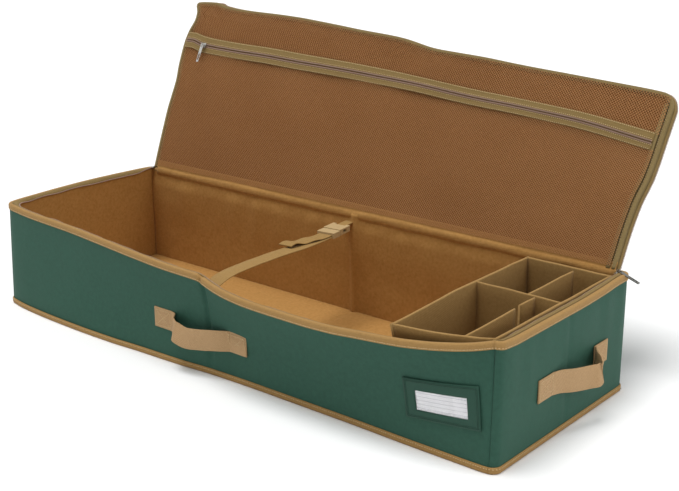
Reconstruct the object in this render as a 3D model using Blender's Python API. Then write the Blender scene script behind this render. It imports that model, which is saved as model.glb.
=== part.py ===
"""A soft box for rolls of gift wrap: fabric over folding boards, a zipped lid with a mesh pocket, webbing
handles, a strap over the rolls, a label holder and a lift-out tray for ribbon with swinging dividers."""

import math

import bmesh
import bpy
from mathutils import Matrix, Vector

# Overall size and running gap
LENGTH = 1.040
DEPTH = 0.348
HEIGHT = 0.185
GAP = 0.0003
OVERRUN = 0.004

# Wall layers, from outside to inside
FABRIC = 0.0009
BOARD = 0.0024
LINING = 0.0009
CORNER_RADIUS = 0.010
CORNER_STEPS = 4
CREASE_GAP = 0.004
BOARD_CORNER_GAP = 0.001

# Bindings round the rim and round the foot
RIM_BINDING = 0.0011
RIM_BINDING_TALL = 0.0095
FOOT_BINDING = 0.0013
FOOT_BINDING_TALL = 0.0095
FOOT_BINDING_LIFT = 0.0006
EDGE_STEPS = 2

# Zip round the rim: a coil on a tape, on the box and again on the lid
COIL_INSET = 0.0112
COIL_WIDE = 0.003
COIL_TALL = 0.0024
COIL_CHAMFER_SHARE = 0.25
TAPE_WIDE = 0.007
TAPE = 0.0008
ZIP_SLOT = 0.0011
LID_ZIP_START = 0.026

# Hinge at the back of the rim
HINGE_STRIP = 0.0006
HINGE_STRIP_TALL = 0.011
HINGE_STRIP_INSET = 0.001
WELT_RADIUS = 0.0022
WELT_STEPS = 14
LID_OPEN_ANGLE = math.radians(117)

# Lid, measured in its own plane from the hinge
LID_FABRIC = 0.0014
LID_LINING = 0.0012
LID_CORNER_RADIUS = 0.010
ROUND_PROFILE_SHARE = 0.5
LID_BINDING = 0.0011
LID_BINDING_LEG = 0.008
LID_BINDING_START = 0.007
LID_LINING_START = 0.006

# Mesh pocket inside the lid
BORDER_WIDE = 0.006
BORDER_INSET = 0.0008
BORDER_START = 0.012
POCKET_DEPTH = 0.0066
NET = 0.0008
NET_STRAND = 0.0026
NET_PITCH = 0.030
POCKET_ZIP_SHARE = 0.777
POCKET_TAPE_WIDE = 0.011

# Zip sliders and their pulls
SLIDER_LONG = 0.012
SLIDER_WIDE = 0.0080
SLIDER_PLATE = 0.0009
SLIDER_WEB = 0.0005
SLIDER_CLEAR = 0.0003
ARCH_LONG = 0.0018
ARCH_WIDE = 0.0056
ARCH_BAR = 0.0010
PIVOT_RISE = 0.0032
PIVOT_TO_BAR = 0.0013
PULL = 0.0014
PULL_WIDE = 0.0076
PULL_LONG = 0.037
PULL_CROSSBAR = 0.0012
PULL_EYE_WIDE = 0.0042
PULL_EYE_LONG = 0.0050
PULL_SLOT_WIDE = 0.0030
PULL_SLOT_LONG = 0.014
PULL_SLOT_MARGIN = 0.0035
PULL_TAPER_SHARE = 0.72
MAIN_PULL_DROP = math.radians(20)
MAIN_SLIDER_INSET = 0.0145
POCKET_SLIDER_INSET = 0.0092

# Webbing handles, one on the front and one on each end
WEBBING = 0.0020
HANDLE_WIDE = 0.034
HANDLE_TOP = 0.083
PATCH_LONG = 0.040
PATCH_EXTRA = 0.0004
PATCH_ROUND = 0.0008
HANDLE_STEPS = 24
FRONT_HANDLE_SPAN = 0.126
FRONT_HANDLE_X = -0.034
FRONT_HANDLE_BULGE = 0.026
FRONT_HANDLE_DROOP = 0.019
END_HANDLE_SPAN = 0.112
END_HANDLE_Y = 0.016
END_HANDLE_LIFT = 0.020
END_HANDLE_BULGE = 0.028
END_HANDLE_DROOP = 0.032

# Label holder on the front
LABEL_X = 0.429
LABEL_Z = 0.083
LABEL_WIDE = 0.128
LABEL_TALL = 0.075
LABEL_HOLDER = 0.0020
LABEL_LIP = 0.0007
WINDOW_WIDE = 0.084
WINDOW_TALL = 0.039
WINDOW_FILM = 0.0003
FILM_MARGIN = 0.004
CARD = 0.0004
CARD_WIDE = 0.094
CARD_TALL = 0.047
CARD_CLEAR = 0.0006
CARD_RAISE = 0.004

# Strap across the rolls, and its buckle
STRAP_DROP = 0.0224
STRAP = 0.0016
STRAP_WIDE = 0.026
STRAP_FRONT_X = 0.036
STRAP_BACK_X = -0.006
STRAP_TAB = 0.030
STRAP_FOLD = 0.010
REAR_STRAP_WIDE = 0.017
BUCKLE_MOUTH_INSET = 0.0592
BUCKLE_WIDE = 0.034
BUCKLE_RISE = 0.0032
SOCKET_LONG = 0.031
SOCKET_TALL = 0.0100
SOCKET_SIDE = 0.0028
SOCKET_CAVITY_LONG = 0.0235
SOCKET_WINDOW_START = 0.008
SOCKET_WINDOW_END = 0.019
SOCKET_BAR = 0.0028
SOCKET_BAR_LONG = 0.0030
BUCKLE_ROUND = 0.0012
PRONG = 0.0040
PRONG_LONG = 0.021
PRONG_WIDE = 0.0044
PRONG_SHOULDER_SHARE = 0.6
TONGUE_WIDE = 0.0060
TONGUE_LONG = 0.016
PLUG_LONG = 0.020
PLUG_TOP = 0.0036
PLUG_FOOT = 0.0058
BUCKLE_CLEAR = 0.0004
TAIL_LONG = 0.095
TAIL_LEVEL = -0.0008

# Lift-out tray for ribbon, with swinging dividers
TRAY_LONG = 0.141
TRAY_END_CLEAR = 0.0122
TRAY_FRONT_CLEAR = 0.0107
TRAY_BACK_CLEAR = 0.0027
TRAY_DROP = 0.015
TRAY_WALL = 0.0034
TRAY_FLOOR = 0.0030
TRAY_CORNER = 0.012
CROSS_Y = 0.008
CROSS_WALL = 0.0034
DIVIDER = 0.0030
DIVIDER_DROP = 0.004
DIVIDER_LIFT = 0.003
FRONT_DIVIDER_INSET = 0.043
FRONT_DIVIDER_LONG = 0.106
MIDDLE_DIVIDER_LONG = 0.042
REAR_DIVIDER_INSET = 0.057
REAR_DIVIDER_LONG = 0.128

# Places worked out from the sizes above
HALF_X = LENGTH / 2
HALF_Y = DEPTH / 2
BOARD_DEPTH = FABRIC + GAP
LINING_DEPTH = BOARD_DEPTH + BOARD + GAP
WALL = LINING_DEPTH + LINING
INNER_X = HALF_X - WALL
INNER_Y = HALF_Y - WALL
WALL_FOOT = FABRIC + GAP
WALL_TOP = HEIGHT - RIM_BINDING - GAP
BASE_LINING_FOOT = WALL_FOOT + BOARD + GAP
FLOOR = BASE_LINING_FOOT + LINING
ZIP_LEVEL = HEIGHT + GAP + TAPE / 2
COIL_X = HALF_X - COIL_INSET
ZIP_END_Y = HALF_Y - WALL - GAP - RIM_BINDING - GAP
COIL_Y = HALF_Y - COIL_INSET
HINGE_Y = HALF_Y + GAP + RIM_BINDING + GAP + HINGE_STRIP / 2
HINGE_Z = HEIGHT + GAP + GAP + WELT_RADIUS
LID_COIL_X = COIL_X - ZIP_SLOT
LID_REACH = HINGE_Y + COIL_Y - ZIP_SLOT
LID_EDGE = COIL_WIDE + TAPE_WIDE + GAP + LID_BINDING + GAP
LID_HALF = LID_COIL_X - LID_EDGE
LID_DEPTH = LID_REACH - LID_EDGE
LID_COIL_RADIUS = LID_CORNER_RADIUS + LID_EDGE
BOX_COIL_RADIUS = LID_COIL_RADIUS + ZIP_SLOT
LID_INSIDE = -(GAP / 2 + LID_LINING)
LID_OUTSIDE = GAP / 2 + LID_FABRIC
NET_TOP = LID_INSIDE - POCKET_DEPTH
NET_LEVEL = NET_TOP - NET / 2
BORDER_HALF = LID_HALF - LID_BINDING_LEG - BORDER_INSET
BORDER_END = LID_DEPTH - LID_BINDING_LEG - BORDER_INSET
NET_HALF = BORDER_HALF - BORDER_WIDE - GAP
POCKET_ZIP_REACH = LID_DEPTH * POCKET_ZIP_SHARE
POCKET_SLIDER_X = -(NET_HALF - POCKET_SLIDER_INSET)
TRAY_RIGHT = INNER_X - TRAY_END_CLEAR
TRAY_LEFT = TRAY_RIGHT - TRAY_LONG
TRAY_FRONT = -(INNER_Y - TRAY_FRONT_CLEAR)
TRAY_BACK = INNER_Y - TRAY_BACK_CLEAR
TRAY_TOP = HEIGHT - TRAY_DROP
MAIN_SLIDER_Y = HALF_Y - MAIN_SLIDER_INSET
STRAP_LEVEL = HEIGHT - STRAP_DROP
BUCKLE_MOUTH_Y = INNER_Y - BUCKLE_MOUTH_INSET
STRAP_SLOPE = (STRAP_BACK_X - STRAP_FRONT_X) / (2 * INNER_Y)
STRAP_TURN = -math.atan(STRAP_SLOPE)
BUCKLE_X = STRAP_FRONT_X + STRAP_SLOPE * (BUCKLE_MOUTH_Y + INNER_Y)
BUCKLE_Z = STRAP_LEVEL + BUCKLE_RISE
WALL_FACE = GAP + WEBBING / 2


def make_finish(name, red, green, blue, roughness, metallic=0.0, alpha=1.0):
    """One Principled material in linear colour."""
    finish = bpy.data.materials.new(name)
    finish.use_nodes = True
    shader = finish.node_tree.nodes["Principled BSDF"]
    shader.inputs["Base Color"].default_value = (red, green, blue, 1.0)
    shader.inputs["Roughness"].default_value = roughness
    shader.inputs["Metallic"].default_value = metallic
    shader.inputs["Alpha"].default_value = alpha
    return finish


def empty(name, place, turn=(0, 0, 0), parent=None):
    """A guide that carries pieces on a joint axis or on a wall."""
    guide = bpy.data.objects.new(name, None)
    bpy.context.scene.collection.objects.link(guide)
    guide.parent = parent
    guide.location = place
    guide.rotation_euler = turn
    return guide


def finish_object(name, bm, look, parent=None):
    """Turns a bmesh into a named object with its own material and outward faces."""
    bmesh.ops.recalc_face_normals(bm, faces=bm.faces)
    mesh = bpy.data.meshes.new(name)
    bm.to_mesh(mesh)
    bm.free()
    mesh.materials.append(make_finish(name, *look))
    mesh.shade_smooth()
    mesh.set_sharp_from_angle(angle=math.radians(35))
    piece = bpy.data.objects.new(name, mesh)
    bpy.context.scene.collection.objects.link(piece)
    piece.parent = parent
    return piece


def add_prism(bm, outline, low, high, axis):
    """Extrudes a closed outline along X, Y or Z; the outline's two numbers are the other two axes in order."""
    def place(a, b, c):
        return {"X": (c, a, b), "Y": (a, c, b), "Z": (a, b, c)}[axis]

    near = [bm.verts.new(place(a, b, low)) for a, b in outline]
    far = [bm.verts.new(place(a, b, high)) for a, b in outline]
    bm.faces.new(near)
    bm.faces.new(list(reversed(far)))
    count = len(outline)
    for i in range(count):
        j = (i + 1) % count
        bm.faces.new((near[i], near[j], far[j], far[i]))


def prism(name, outline, low, high, axis, look, parent=None):
    bm = bmesh.new()
    add_prism(bm, outline, low, high, axis)
    return finish_object(name, bm, look, parent)


def rectangle(x_low, x_high, y_low, y_high):
    return [(x_low, y_low), (x_high, y_low), (x_high, y_high), (x_low, y_high)]


def block(name, x_span, y_span, z_span, look, parent=None):
    return prism(name, rectangle(*x_span, *y_span), *z_span, "Z", look, parent)


def arc(x, y, radius, start, end, steps):
    """Points round a centre, with the angles in degrees."""
    points = []
    for i in range(steps + 1):
        angle = math.radians(start + (end - start) * i / steps)
        points.append((x + radius * math.cos(angle), y + radius * math.sin(angle)))
    return points


def rounded_rectangle(x_low, x_high, y_low, y_high, radius, steps):
    points = arc(x_low + radius, y_low + radius, radius, 180, 270, steps)
    points += arc(x_high - radius, y_low + radius, radius, 270, 360, steps)
    points += arc(x_high - radius, y_high - radius, radius, 0, 90, steps)
    points += arc(x_low + radius, y_high - radius, radius, 90, 180, steps)
    return points


def corner_path(x, y, radius, start, end):
    """Path points round one corner, each with its outward direction."""
    path = []
    for i in range(CORNER_STEPS + 1):
        angle = math.radians(start + (end - start) * i / CORNER_STEPS)
        out = Vector((math.cos(angle), math.sin(angle)))
        path.append((Vector((x, y)) + out * radius, out))
    return path


def rim_path(radius):
    """The whole outline of the box's walls, clockwise from the front left."""
    x = HALF_X - radius
    y = HALF_Y - radius
    path = corner_path(-x, -y, radius, 180, 270)
    path += corner_path(x, -y, radius, 270, 360)
    path += corner_path(x, y, radius, 0, 90)
    path += corner_path(-x, y, radius, 90, 180)
    return path


def three_sided_path(half_x, front, back, radius):
    """From the back right, along the right, the front and the left side, to the back left."""
    path = [(Vector((half_x, back)), Vector((1, 0)))]
    path += corner_path(half_x - radius, front + radius, radius, 0, -90)
    path += corner_path(-half_x + radius, front + radius, radius, -90, -180)
    path.append((Vector((-half_x, back)), Vector((-1, 0))))
    return path


def square_path(half_x, front, back):
    """A rectangle whose corners are mitred."""
    corners = [(half_x, front, 1, -1), (-half_x, front, -1, -1), (-half_x, back, -1, 1), (half_x, back, 1, 1)]
    return [(Vector((x, y)), Vector((out_x, out_y))) for x, y, out_x, out_y in corners]


def sweep(name, path, section, closed, look, parent=None):
    """Carries a section of (outward, upward) points along a flat path."""
    bm = bmesh.new()
    rings = []
    for point, out in path:
        rings.append([bm.verts.new((*(point + out * a), b)) for a, b in section])
    count = len(section)
    last = len(rings) if closed else len(rings) - 1
    for i in range(last):
        near = rings[i]
        far = rings[(i + 1) % len(rings)]
        for j in range(count):
            k = (j + 1) % count
            bm.faces.new((near[j], near[k], far[k], far[j]))
    if not closed:
        bm.faces.new(rings[0])
        bm.faces.new(rings[-1])
    return finish_object(name, bm, look, parent)


def soften(piece, width, segments=2):
    """Rounds the sharp edges of a piece."""
    bevel = piece.modifiers.new("rounding", "BEVEL")
    bevel.width = width
    bevel.segments = segments
    bevel.limit_method = "ANGLE"
    return piece


def combine(piece, tool, operation):
    """Joins a second shape to a piece or cuts it away; the second shape is only a guide."""
    tool.hide_render = True
    tool.display_type = "WIRE"
    step = piece.modifiers.new(tool.name, "BOOLEAN")
    step.operation = operation
    step.solver = "EXACT"
    step.object = tool


def mirrored(outline):
    return [(-a, b) for a, b in outline]


GREEN = (0.030, 0.085, 0.055, 0.62)
TAN = (0.43, 0.27, 0.115, 0.72)
WEBBING_TAN = (0.46, 0.29, 0.15, 0.80)
LINING_TAN = (0.30, 0.155, 0.055, 0.75)
BOARD_GREY = (0.42, 0.38, 0.32, 0.90)
TAPE_TAN = (0.27, 0.165, 0.070, 0.78)
NET_TAN = (0.30, 0.125, 0.045, 0.65)
VINYL_GREEN = (0.022, 0.070, 0.045, 0.38)
STEEL = (0.36, 0.36, 0.37, 0.32, 1.0)
BUCKLE_TAN = (0.50, 0.36, 0.20, 0.42)
CARD_WHITE = (0.78, 0.77, 0.80, 0.60)
CLEAR = (0.85, 0.86, 0.87, 0.12, 0.0, 0.35)


def end_panel_outline():
    """The right end's fabric seen from above: it wraps both corners."""
    x = HALF_X - CORNER_RADIUS
    y = HALF_Y - CORNER_RADIUS
    inner = CORNER_RADIUS - FABRIC
    outline = arc(x, -y, CORNER_RADIUS, -90, 0, CORNER_STEPS)
    outline += arc(x, y, CORNER_RADIUS, 0, 90, CORNER_STEPS)
    outline += arc(x, y, inner, 90, 0, CORNER_STEPS)
    outline += arc(x, -y, inner, 0, -90, CORNER_STEPS)
    return outline


def make_outer_fabric():
    outline = rounded_rectangle(-HALF_X, HALF_X, -HALF_Y, HALF_Y, CORNER_RADIUS, CORNER_STEPS)
    prism("base_fabric", outline, 0, FABRIC, "Z", GREEN)
    panel_half = HALF_X - CORNER_RADIUS - GAP
    across = (-panel_half, panel_half)
    tall = (WALL_FOOT, WALL_TOP)
    block("front_fabric", across, (-HALF_Y, -HALF_Y + FABRIC), tall, GREEN)
    block("back_fabric", across, (HALF_Y - FABRIC, HALF_Y), tall, GREEN)
    prism("right_end_fabric", end_panel_outline(), *tall, "Z", GREEN)
    prism("left_end_fabric", mirrored(end_panel_outline()), *tall, "Z", GREEN)


def make_boards():
    """Each wall and the base has two half boards with a crease between them."""
    tall = (WALL_FOOT, WALL_TOP)
    crease = CREASE_GAP / 2
    far_x = HALF_X - CORNER_RADIUS - BOARD_CORNER_GAP
    far_y = HALF_Y - CORNER_RADIUS - BOARD_CORNER_GAP
    halves_x = {"left": (-far_x, -crease), "right": (crease, far_x)}
    halves_y = {"front": (-far_y, -crease), "rear": (crease, far_y)}
    face_x = HALF_X - BOARD_DEPTH
    face_y = HALF_Y - BOARD_DEPTH
    for half, span in halves_x.items():
        block("front_board_" + half, span, (-face_y, -face_y + BOARD), tall, BOARD_GREY)
        block("back_board_" + half, span, (face_y - BOARD, face_y), tall, BOARD_GREY)
    for half, span in halves_y.items():
        block("left_board_" + half, (-face_x, -face_x + BOARD), span, tall, BOARD_GREY)
        block("right_board_" + half, (face_x - BOARD, face_x), span, tall, BOARD_GREY)
    side_x = INNER_X - GAP
    side_y = INNER_Y - GAP
    flat = (WALL_FOOT, WALL_FOOT + BOARD)
    block("base_board_left", (-side_x, -crease), (-side_y, side_y), flat, BOARD_GREY)
    block("base_board_right", (crease, side_x), (-side_y, side_y), flat, BOARD_GREY)


def make_linings():
    tall = (WALL_FOOT, WALL_TOP)
    side_x = INNER_X - GAP
    side_y = INNER_Y - GAP
    end_y = INNER_Y + LINING
    block("front_lining", (-side_x, side_x), (-INNER_Y - LINING, -INNER_Y), tall, LINING_TAN)
    block("back_lining", (-side_x, side_x), (INNER_Y, INNER_Y + LINING), tall, LINING_TAN)
    block("left_lining", (-INNER_X - LINING, -INNER_X), (-end_y, end_y), tall, LINING_TAN)
    block("right_lining", (INNER_X, INNER_X + LINING), (-end_y, end_y), tall, LINING_TAN)
    block("base_lining", (-side_x, side_x), (-side_y, side_y), (BASE_LINING_FOOT, FLOOR), LINING_TAN)


def make_bindings():
    """A folded strip over the rim, and a piped strip round the foot."""
    inside = -WALL - GAP
    under = WALL_TOP + GAP
    foot = HEIGHT - RIM_BINDING_TALL
    section = [(GAP, foot), (GAP + RIM_BINDING, foot)]
    section += arc(GAP, under, RIM_BINDING, 0, 90, EDGE_STEPS)
    section += arc(inside, under, RIM_BINDING, 90, 180, EDGE_STEPS)
    section += [(inside - RIM_BINDING, foot), (inside, foot), (inside, under), (GAP, under)]
    sweep("top_binding", rim_path(CORNER_RADIUS), section, True, TAN)
    low = FOOT_BINDING_LIFT
    high = low + FOOT_BINDING_TALL
    section = [(GAP, low)]
    section += arc(GAP, low + FOOT_BINDING, FOOT_BINDING, -90, 0, EDGE_STEPS)[1:]
    section += arc(GAP, high - FOOT_BINDING, FOOT_BINDING, 0, 90, EDGE_STEPS)
    sweep("bottom_binding", rim_path(CORNER_RADIUS), section, True, TAN)


def zip_section(outward, level):
    """Half a zip: a rounded coil at the path, and the tape beside it; outward is 1 or -1."""
    half = COIL_TALL / 2
    chamfer = COIL_TALL * COIL_CHAMFER_SHARE
    flat = TAPE / 2
    edge = COIL_WIDE + TAPE_WIDE
    upper = [(0, half - chamfer), (chamfer, half), (COIL_WIDE - chamfer, half), (COIL_WIDE, flat), (edge, flat)]
    lower = [(a, -b) for a, b in reversed(upper)]
    return [(outward * a, level + b) for a, b in upper + lower]


def make_box_zip():
    path = three_sided_path(COIL_X, -COIL_Y, ZIP_END_Y, BOX_COIL_RADIUS)
    sweep("box_zip_tape", path, zip_section(1, ZIP_LEVEL), False, TAPE_TAN)


def make_hinge_strip():
    y = HINGE_Y - HINGE_STRIP / 2
    top = HINGE_Z - WELT_RADIUS - GAP
    half = LID_HALF - HINGE_STRIP_INSET
    block("hinge_strip", (-half, half), (y, y + HINGE_STRIP), (top - HINGE_STRIP_TALL, top), GREEN)


def round_front_corners(bm, half, front, radius):
    """Rounds the two corners of a lid layer that lie furthest from the hinge."""
    close = GAP / 2
    edges = []
    for edge in bm.edges:
        a, b = (vert.co for vert in edge.verts)
        upright = abs(a.x - b.x) < close and abs(a.y - b.y) < close
        if upright and abs(a.y - front) < close and abs(abs(a.x) - half) < close:
            edges.append(edge)
    round_share = ROUND_PROFILE_SHARE
    bmesh.ops.bevel(bm, geom=edges, offset=radius, segments=CORNER_STEPS, profile=round_share, affect="EDGES")


def make_lid_layers(lid):
    """The outer fabric rolls round a welt at the hinge; the lining lies under it."""
    low = GAP / 2
    meet = math.degrees(math.asin(LID_OUTSIDE / WELT_RADIUS))
    below = math.degrees(math.asin(low / WELT_RADIUS))
    profile = [(-LID_DEPTH, low)]
    profile += arc(0, 0, WELT_RADIUS, -180 - below, 180 - meet, WELT_STEPS)
    profile.append((-LID_DEPTH, LID_OUTSIDE))
    bm = bmesh.new()
    add_prism(bm, profile, -LID_HALF, LID_HALF, "X")
    round_front_corners(bm, LID_HALF, -LID_DEPTH, LID_CORNER_RADIUS)
    finish_object("lid_fabric", bm, GREEN, lid)
    bm = bmesh.new()
    outline = rectangle(-LID_HALF, LID_HALF, -LID_DEPTH, -LID_LINING_START)
    add_prism(bm, outline, LID_INSIDE, LID_INSIDE + LID_LINING, "Z")
    round_front_corners(bm, LID_HALF, -LID_DEPTH, LID_CORNER_RADIUS)
    finish_object("lid_lining", bm, LINING_TAN, lid)


def make_lid_edge(lid):
    """A binding folded round three edges of the lid, and the lid's half of the zip outside it."""
    high = LID_OUTSIDE + GAP
    low = LID_INSIDE - GAP
    section = [(-LID_BINDING_LEG, high), (GAP, high), (GAP, low), (-LID_BINDING_LEG, low)]
    section.append((-LID_BINDING_LEG, low - LID_BINDING))
    section += arc(GAP, low, LID_BINDING, -90, 0, EDGE_STEPS)
    section += arc(GAP, high, LID_BINDING, 0, 90, EDGE_STEPS)
    section.append((-LID_BINDING_LEG, high + LID_BINDING))
    path = three_sided_path(LID_HALF, -LID_DEPTH, -LID_BINDING_START, LID_CORNER_RADIUS)
    sweep("lid_binding", path, section, False, TAN, lid)
    path = three_sided_path(LID_COIL_X, -LID_REACH, -LID_ZIP_START, LID_COIL_RADIUS)
    sweep("lid_zip_tape", path, zip_section(-1, 0), False, TAPE_TAN, lid)


def strand_lines(low, high):
    """The two edges of each strand across a span, with as many gaps as fit it best."""
    gaps = max(round((high - low) / NET_PITCH), 1)
    pitch = (high - low - NET_STRAND) / gaps
    ticks = []
    for i in range(gaps + 1):
        ticks += [low + i * pitch, low + i * pitch + NET_STRAND]
    return ticks


def net(name, half, y_low, y_high, parent):
    """A flat net with square-cornered gaps, so that each strand is solid."""
    xs = strand_lines(-half, half)
    ys = strand_lines(y_low, y_high)
    bm = bmesh.new()
    grid = [[bm.verts.new((x, y, NET_TOP)) for y in ys] for x in xs]
    faces = []
    for i in range(len(xs) - 1):
        for j in range(len(ys) - 1):
            if i % 2 == 0 or j % 2 == 0:
                faces.append(bm.faces.new((grid[i][j], grid[i + 1][j], grid[i + 1][j + 1], grid[i][j + 1])))
    grown = bmesh.ops.extrude_face_region(bm, geom=faces)
    moved = [item for item in grown["geom"] if isinstance(item, bmesh.types.BMVert)]
    bmesh.ops.translate(bm, verts=moved, vec=(0, 0, -NET))
    return finish_object(name, bm, NET_TAN, parent)


def pocket_zip_profile(inner, outer):
    """One tape of the pocket's zip, with its coil at the inner end; both ends are places along Y."""
    side = 1 if outer > inner else -1
    half = COIL_TALL / 2
    chamfer = COIL_TALL * COIL_CHAMFER_SHARE
    flat = NET / 2
    upper = [(0, half - chamfer), (chamfer, half), (COIL_WIDE - chamfer, half), (COIL_WIDE, flat)]
    upper.append((abs(outer - inner), flat))
    lower = [(a, -b) for a, b in reversed(upper)]
    return [(inner + side * a, NET_LEVEL + b) for a, b in upper + lower]


def make_pocket(lid):
    """A raised border, two nets and the zip between them make the pocket."""
    section = [(0, LID_INSIDE - GAP), (0, NET_TOP - NET), (-BORDER_WIDE, NET_TOP - NET)]
    section.append((-BORDER_WIDE, LID_INSIDE - GAP))
    path = square_path(BORDER_HALF, -BORDER_END, -BORDER_START)
    sweep("pocket_border", path, section, True, TAN, lid)
    near = -BORDER_START - BORDER_WIDE - GAP
    far = -BORDER_END + BORDER_WIDE + GAP
    reach = ZIP_SLOT / 2 + COIL_WIDE + POCKET_TAPE_WIDE
    tape_low = -POCKET_ZIP_REACH - reach
    tape_high = -POCKET_ZIP_REACH + reach
    slot_low = -POCKET_ZIP_REACH - ZIP_SLOT / 2
    slot_high = -POCKET_ZIP_REACH + ZIP_SLOT / 2
    net("pocket_mesh_lower", NET_HALF, tape_high + GAP, near, lid)
    net("pocket_mesh_upper", NET_HALF, far, tape_low - GAP, lid)
    lower = pocket_zip_profile(slot_high, tape_high)
    upper = pocket_zip_profile(slot_low, tape_low)
    prism("pocket_zip_lower", lower, -NET_HALF, NET_HALF, "X", TAPE_TAN, lid)
    prism("pocket_zip_upper", upper, -NET_HALF, NET_HALF, "X", TAPE_TAN, lid)


def make_slider(name, parent):
    """Two plates joined by a web between the coils, and an arch for the pull.

    Its own axes: X along the zip, Y across it, Z away from it, with zero at the middle of the coils.
    """
    near = COIL_TALL / 2 + SLIDER_CLEAR
    far = near + SLIDER_PLATE
    wide = SLIDER_WIDE / 2
    web = SLIDER_WEB / 2
    right = [(web, -near), (wide, -near), (wide, -far)]
    right_top = [(wide, far), (wide, near), (web, near)]
    left_top = [(-web, near), (-wide, near), (-wide, far)]
    left = [(-wide, -far), (-wide, -near), (-web, -near)]
    outline = left + left_top + right_top + right
    half = SLIDER_LONG / 2
    piece = prism(name, outline, -half, half, "X", STEEL, parent)
    leg = ARCH_WIDE / 2
    bar_low = far + PIVOT_RISE + PIVOT_TO_BAR
    foot = far - SLIDER_PLATE / 2
    arch = [(leg, foot), (leg, bar_low + ARCH_BAR), (-leg, bar_low + ARCH_BAR), (-leg, foot)]
    arch += [(-leg + ARCH_BAR, foot), (-leg + ARCH_BAR, bar_low), (leg - ARCH_BAR, bar_low), (leg - ARCH_BAR, foot)]
    tool = prism(name + "_arch", arch, -ARCH_LONG / 2, ARCH_LONG / 2, "X", STEEL, parent)
    combine(piece, tool, "UNION")
    return far + PIVOT_RISE


def make_pull(name, parent):
    """A tapered tab with an eye round the arch and a slot near its end; it turns about the X axis."""
    half = PULL_WIDE / 2
    tip = half * PULL_TAPER_SHARE
    start = -PULL_CROSSBAR / 2
    end = start + PULL_LONG
    outline = [(-half, start), (half, start), (tip, end), (-tip, end)]
    piece = prism(name, outline, -PULL / 2, PULL / 2, "Z", STEEL, parent)
    eye = PULL_EYE_WIDE / 2
    eye_start = PULL_CROSSBAR / 2
    hole = rectangle(-eye, eye, eye_start, eye_start + PULL_EYE_LONG)
    combine(piece, prism(name + "_eye", hole, -PULL, PULL, "Z", STEEL, parent), "DIFFERENCE")
    slot = PULL_SLOT_WIDE / 2
    slot_end = end - PULL_SLOT_MARGIN
    hole = rounded_rectangle(-slot, slot, slot_end - PULL_SLOT_LONG, slot_end, slot, EDGE_STEPS)
    combine(piece, prism(name + "_slot", hole, -PULL, PULL, "Z", STEEL, parent), "DIFFERENCE")


def make_zip_hardware(lid):
    place = (COIL_X - ZIP_SLOT / 2, MAIN_SLIDER_Y, ZIP_LEVEL)
    slider = empty("main_slider_guide", place, (0, 0, -math.pi / 2))
    rise = make_slider("main_zip_slider", slider)
    pull = empty("main_pull_axis", (0, 0, rise), (-MAIN_PULL_DROP, 0, 0), slider)
    make_pull("main_zip_pull", pull)
    place = (POCKET_SLIDER_X, -POCKET_ZIP_REACH, NET_LEVEL)
    slider = empty("pocket_slider_guide", place, (0, math.pi, 0), lid)
    rise = make_slider("pocket_zip_slider", slider)
    pull = empty("pocket_pull_axis", (0, 0, rise), (0, 0, 0), slider)
    make_pull("pocket_zip_pull", pull)


def handle_point(share, span, bulge, droop):
    """A point on the loop's upper edge: it leaves the wall flat, stands out and droops."""
    rise = math.sin(math.pi * share) ** 2
    return Vector((-span / 2 + span * share, -bulge * rise, -droop * rise))


def make_handle(name, place, turn, span, bulge, droop):
    """Two sewn patches and a slack loop that turns about its upper edge.

    Its own axes: X along the wall, Y into the wall, Z up, with zero on the axis.
    """
    wall = empty(name + "_axis", place, (0, 0, turn))
    half = span / 2
    deep = (-WEBBING / 2 - PATCH_EXTRA, WEBBING / 2)
    tall = (-HANDLE_WIDE, 0)
    for side, low, high in (("left", -half - PATCH_LONG, -half - GAP), ("right", half + GAP, half + PATCH_LONG)):
        soften(block(f"{name}_patch_{side}", (low, high), deep, tall, WEBBING_TAN, wall), PATCH_ROUND, 1)
    bm = bmesh.new()
    rings = []
    for i in range(HANDLE_STEPS + 1):
        share = i / HANDLE_STEPS
        point = handle_point(share, span, bulge, droop)
        ahead = handle_point(min(share + 1 / HANDLE_STEPS, 1), span, bulge, droop)
        behind = handle_point(max(share - 1 / HANDLE_STEPS, 0), span, bulge, droop)
        along = ahead - behind
        out = Vector((along.y, -along.x, 0)).normalized() * (WEBBING / 2)
        drop = Vector((0, 0, -HANDLE_WIDE))
        rings.append([bm.verts.new(point + v) for v in (out, -out, drop - out, drop + out)])
    for near, far in zip(rings, rings[1:]):
        for j in range(4):
            bm.faces.new((near[j], near[(j + 1) % 4], far[(j + 1) % 4], far[j]))
    bm.faces.new(rings[0])
    bm.faces.new(rings[-1])
    finish_object(name + "_loop", bm, WEBBING_TAN, wall)


def make_handles():
    front = (FRONT_HANDLE_X, -HALF_Y - WALL_FACE, HANDLE_TOP)
    make_handle("front_handle", front, 0, FRONT_HANDLE_SPAN, FRONT_HANDLE_BULGE, FRONT_HANDLE_DROOP)
    end_top = HANDLE_TOP + END_HANDLE_LIFT
    right = (HALF_X + WALL_FACE, END_HANDLE_Y, end_top)
    left = (-HALF_X - WALL_FACE, END_HANDLE_Y, end_top)
    quarter = math.pi / 2
    make_handle("right_handle", right, quarter, END_HANDLE_SPAN, END_HANDLE_BULGE, END_HANDLE_DROOP)
    make_handle("left_handle", left, -quarter, END_HANDLE_SPAN, END_HANDLE_BULGE, END_HANDLE_DROOP)


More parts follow.
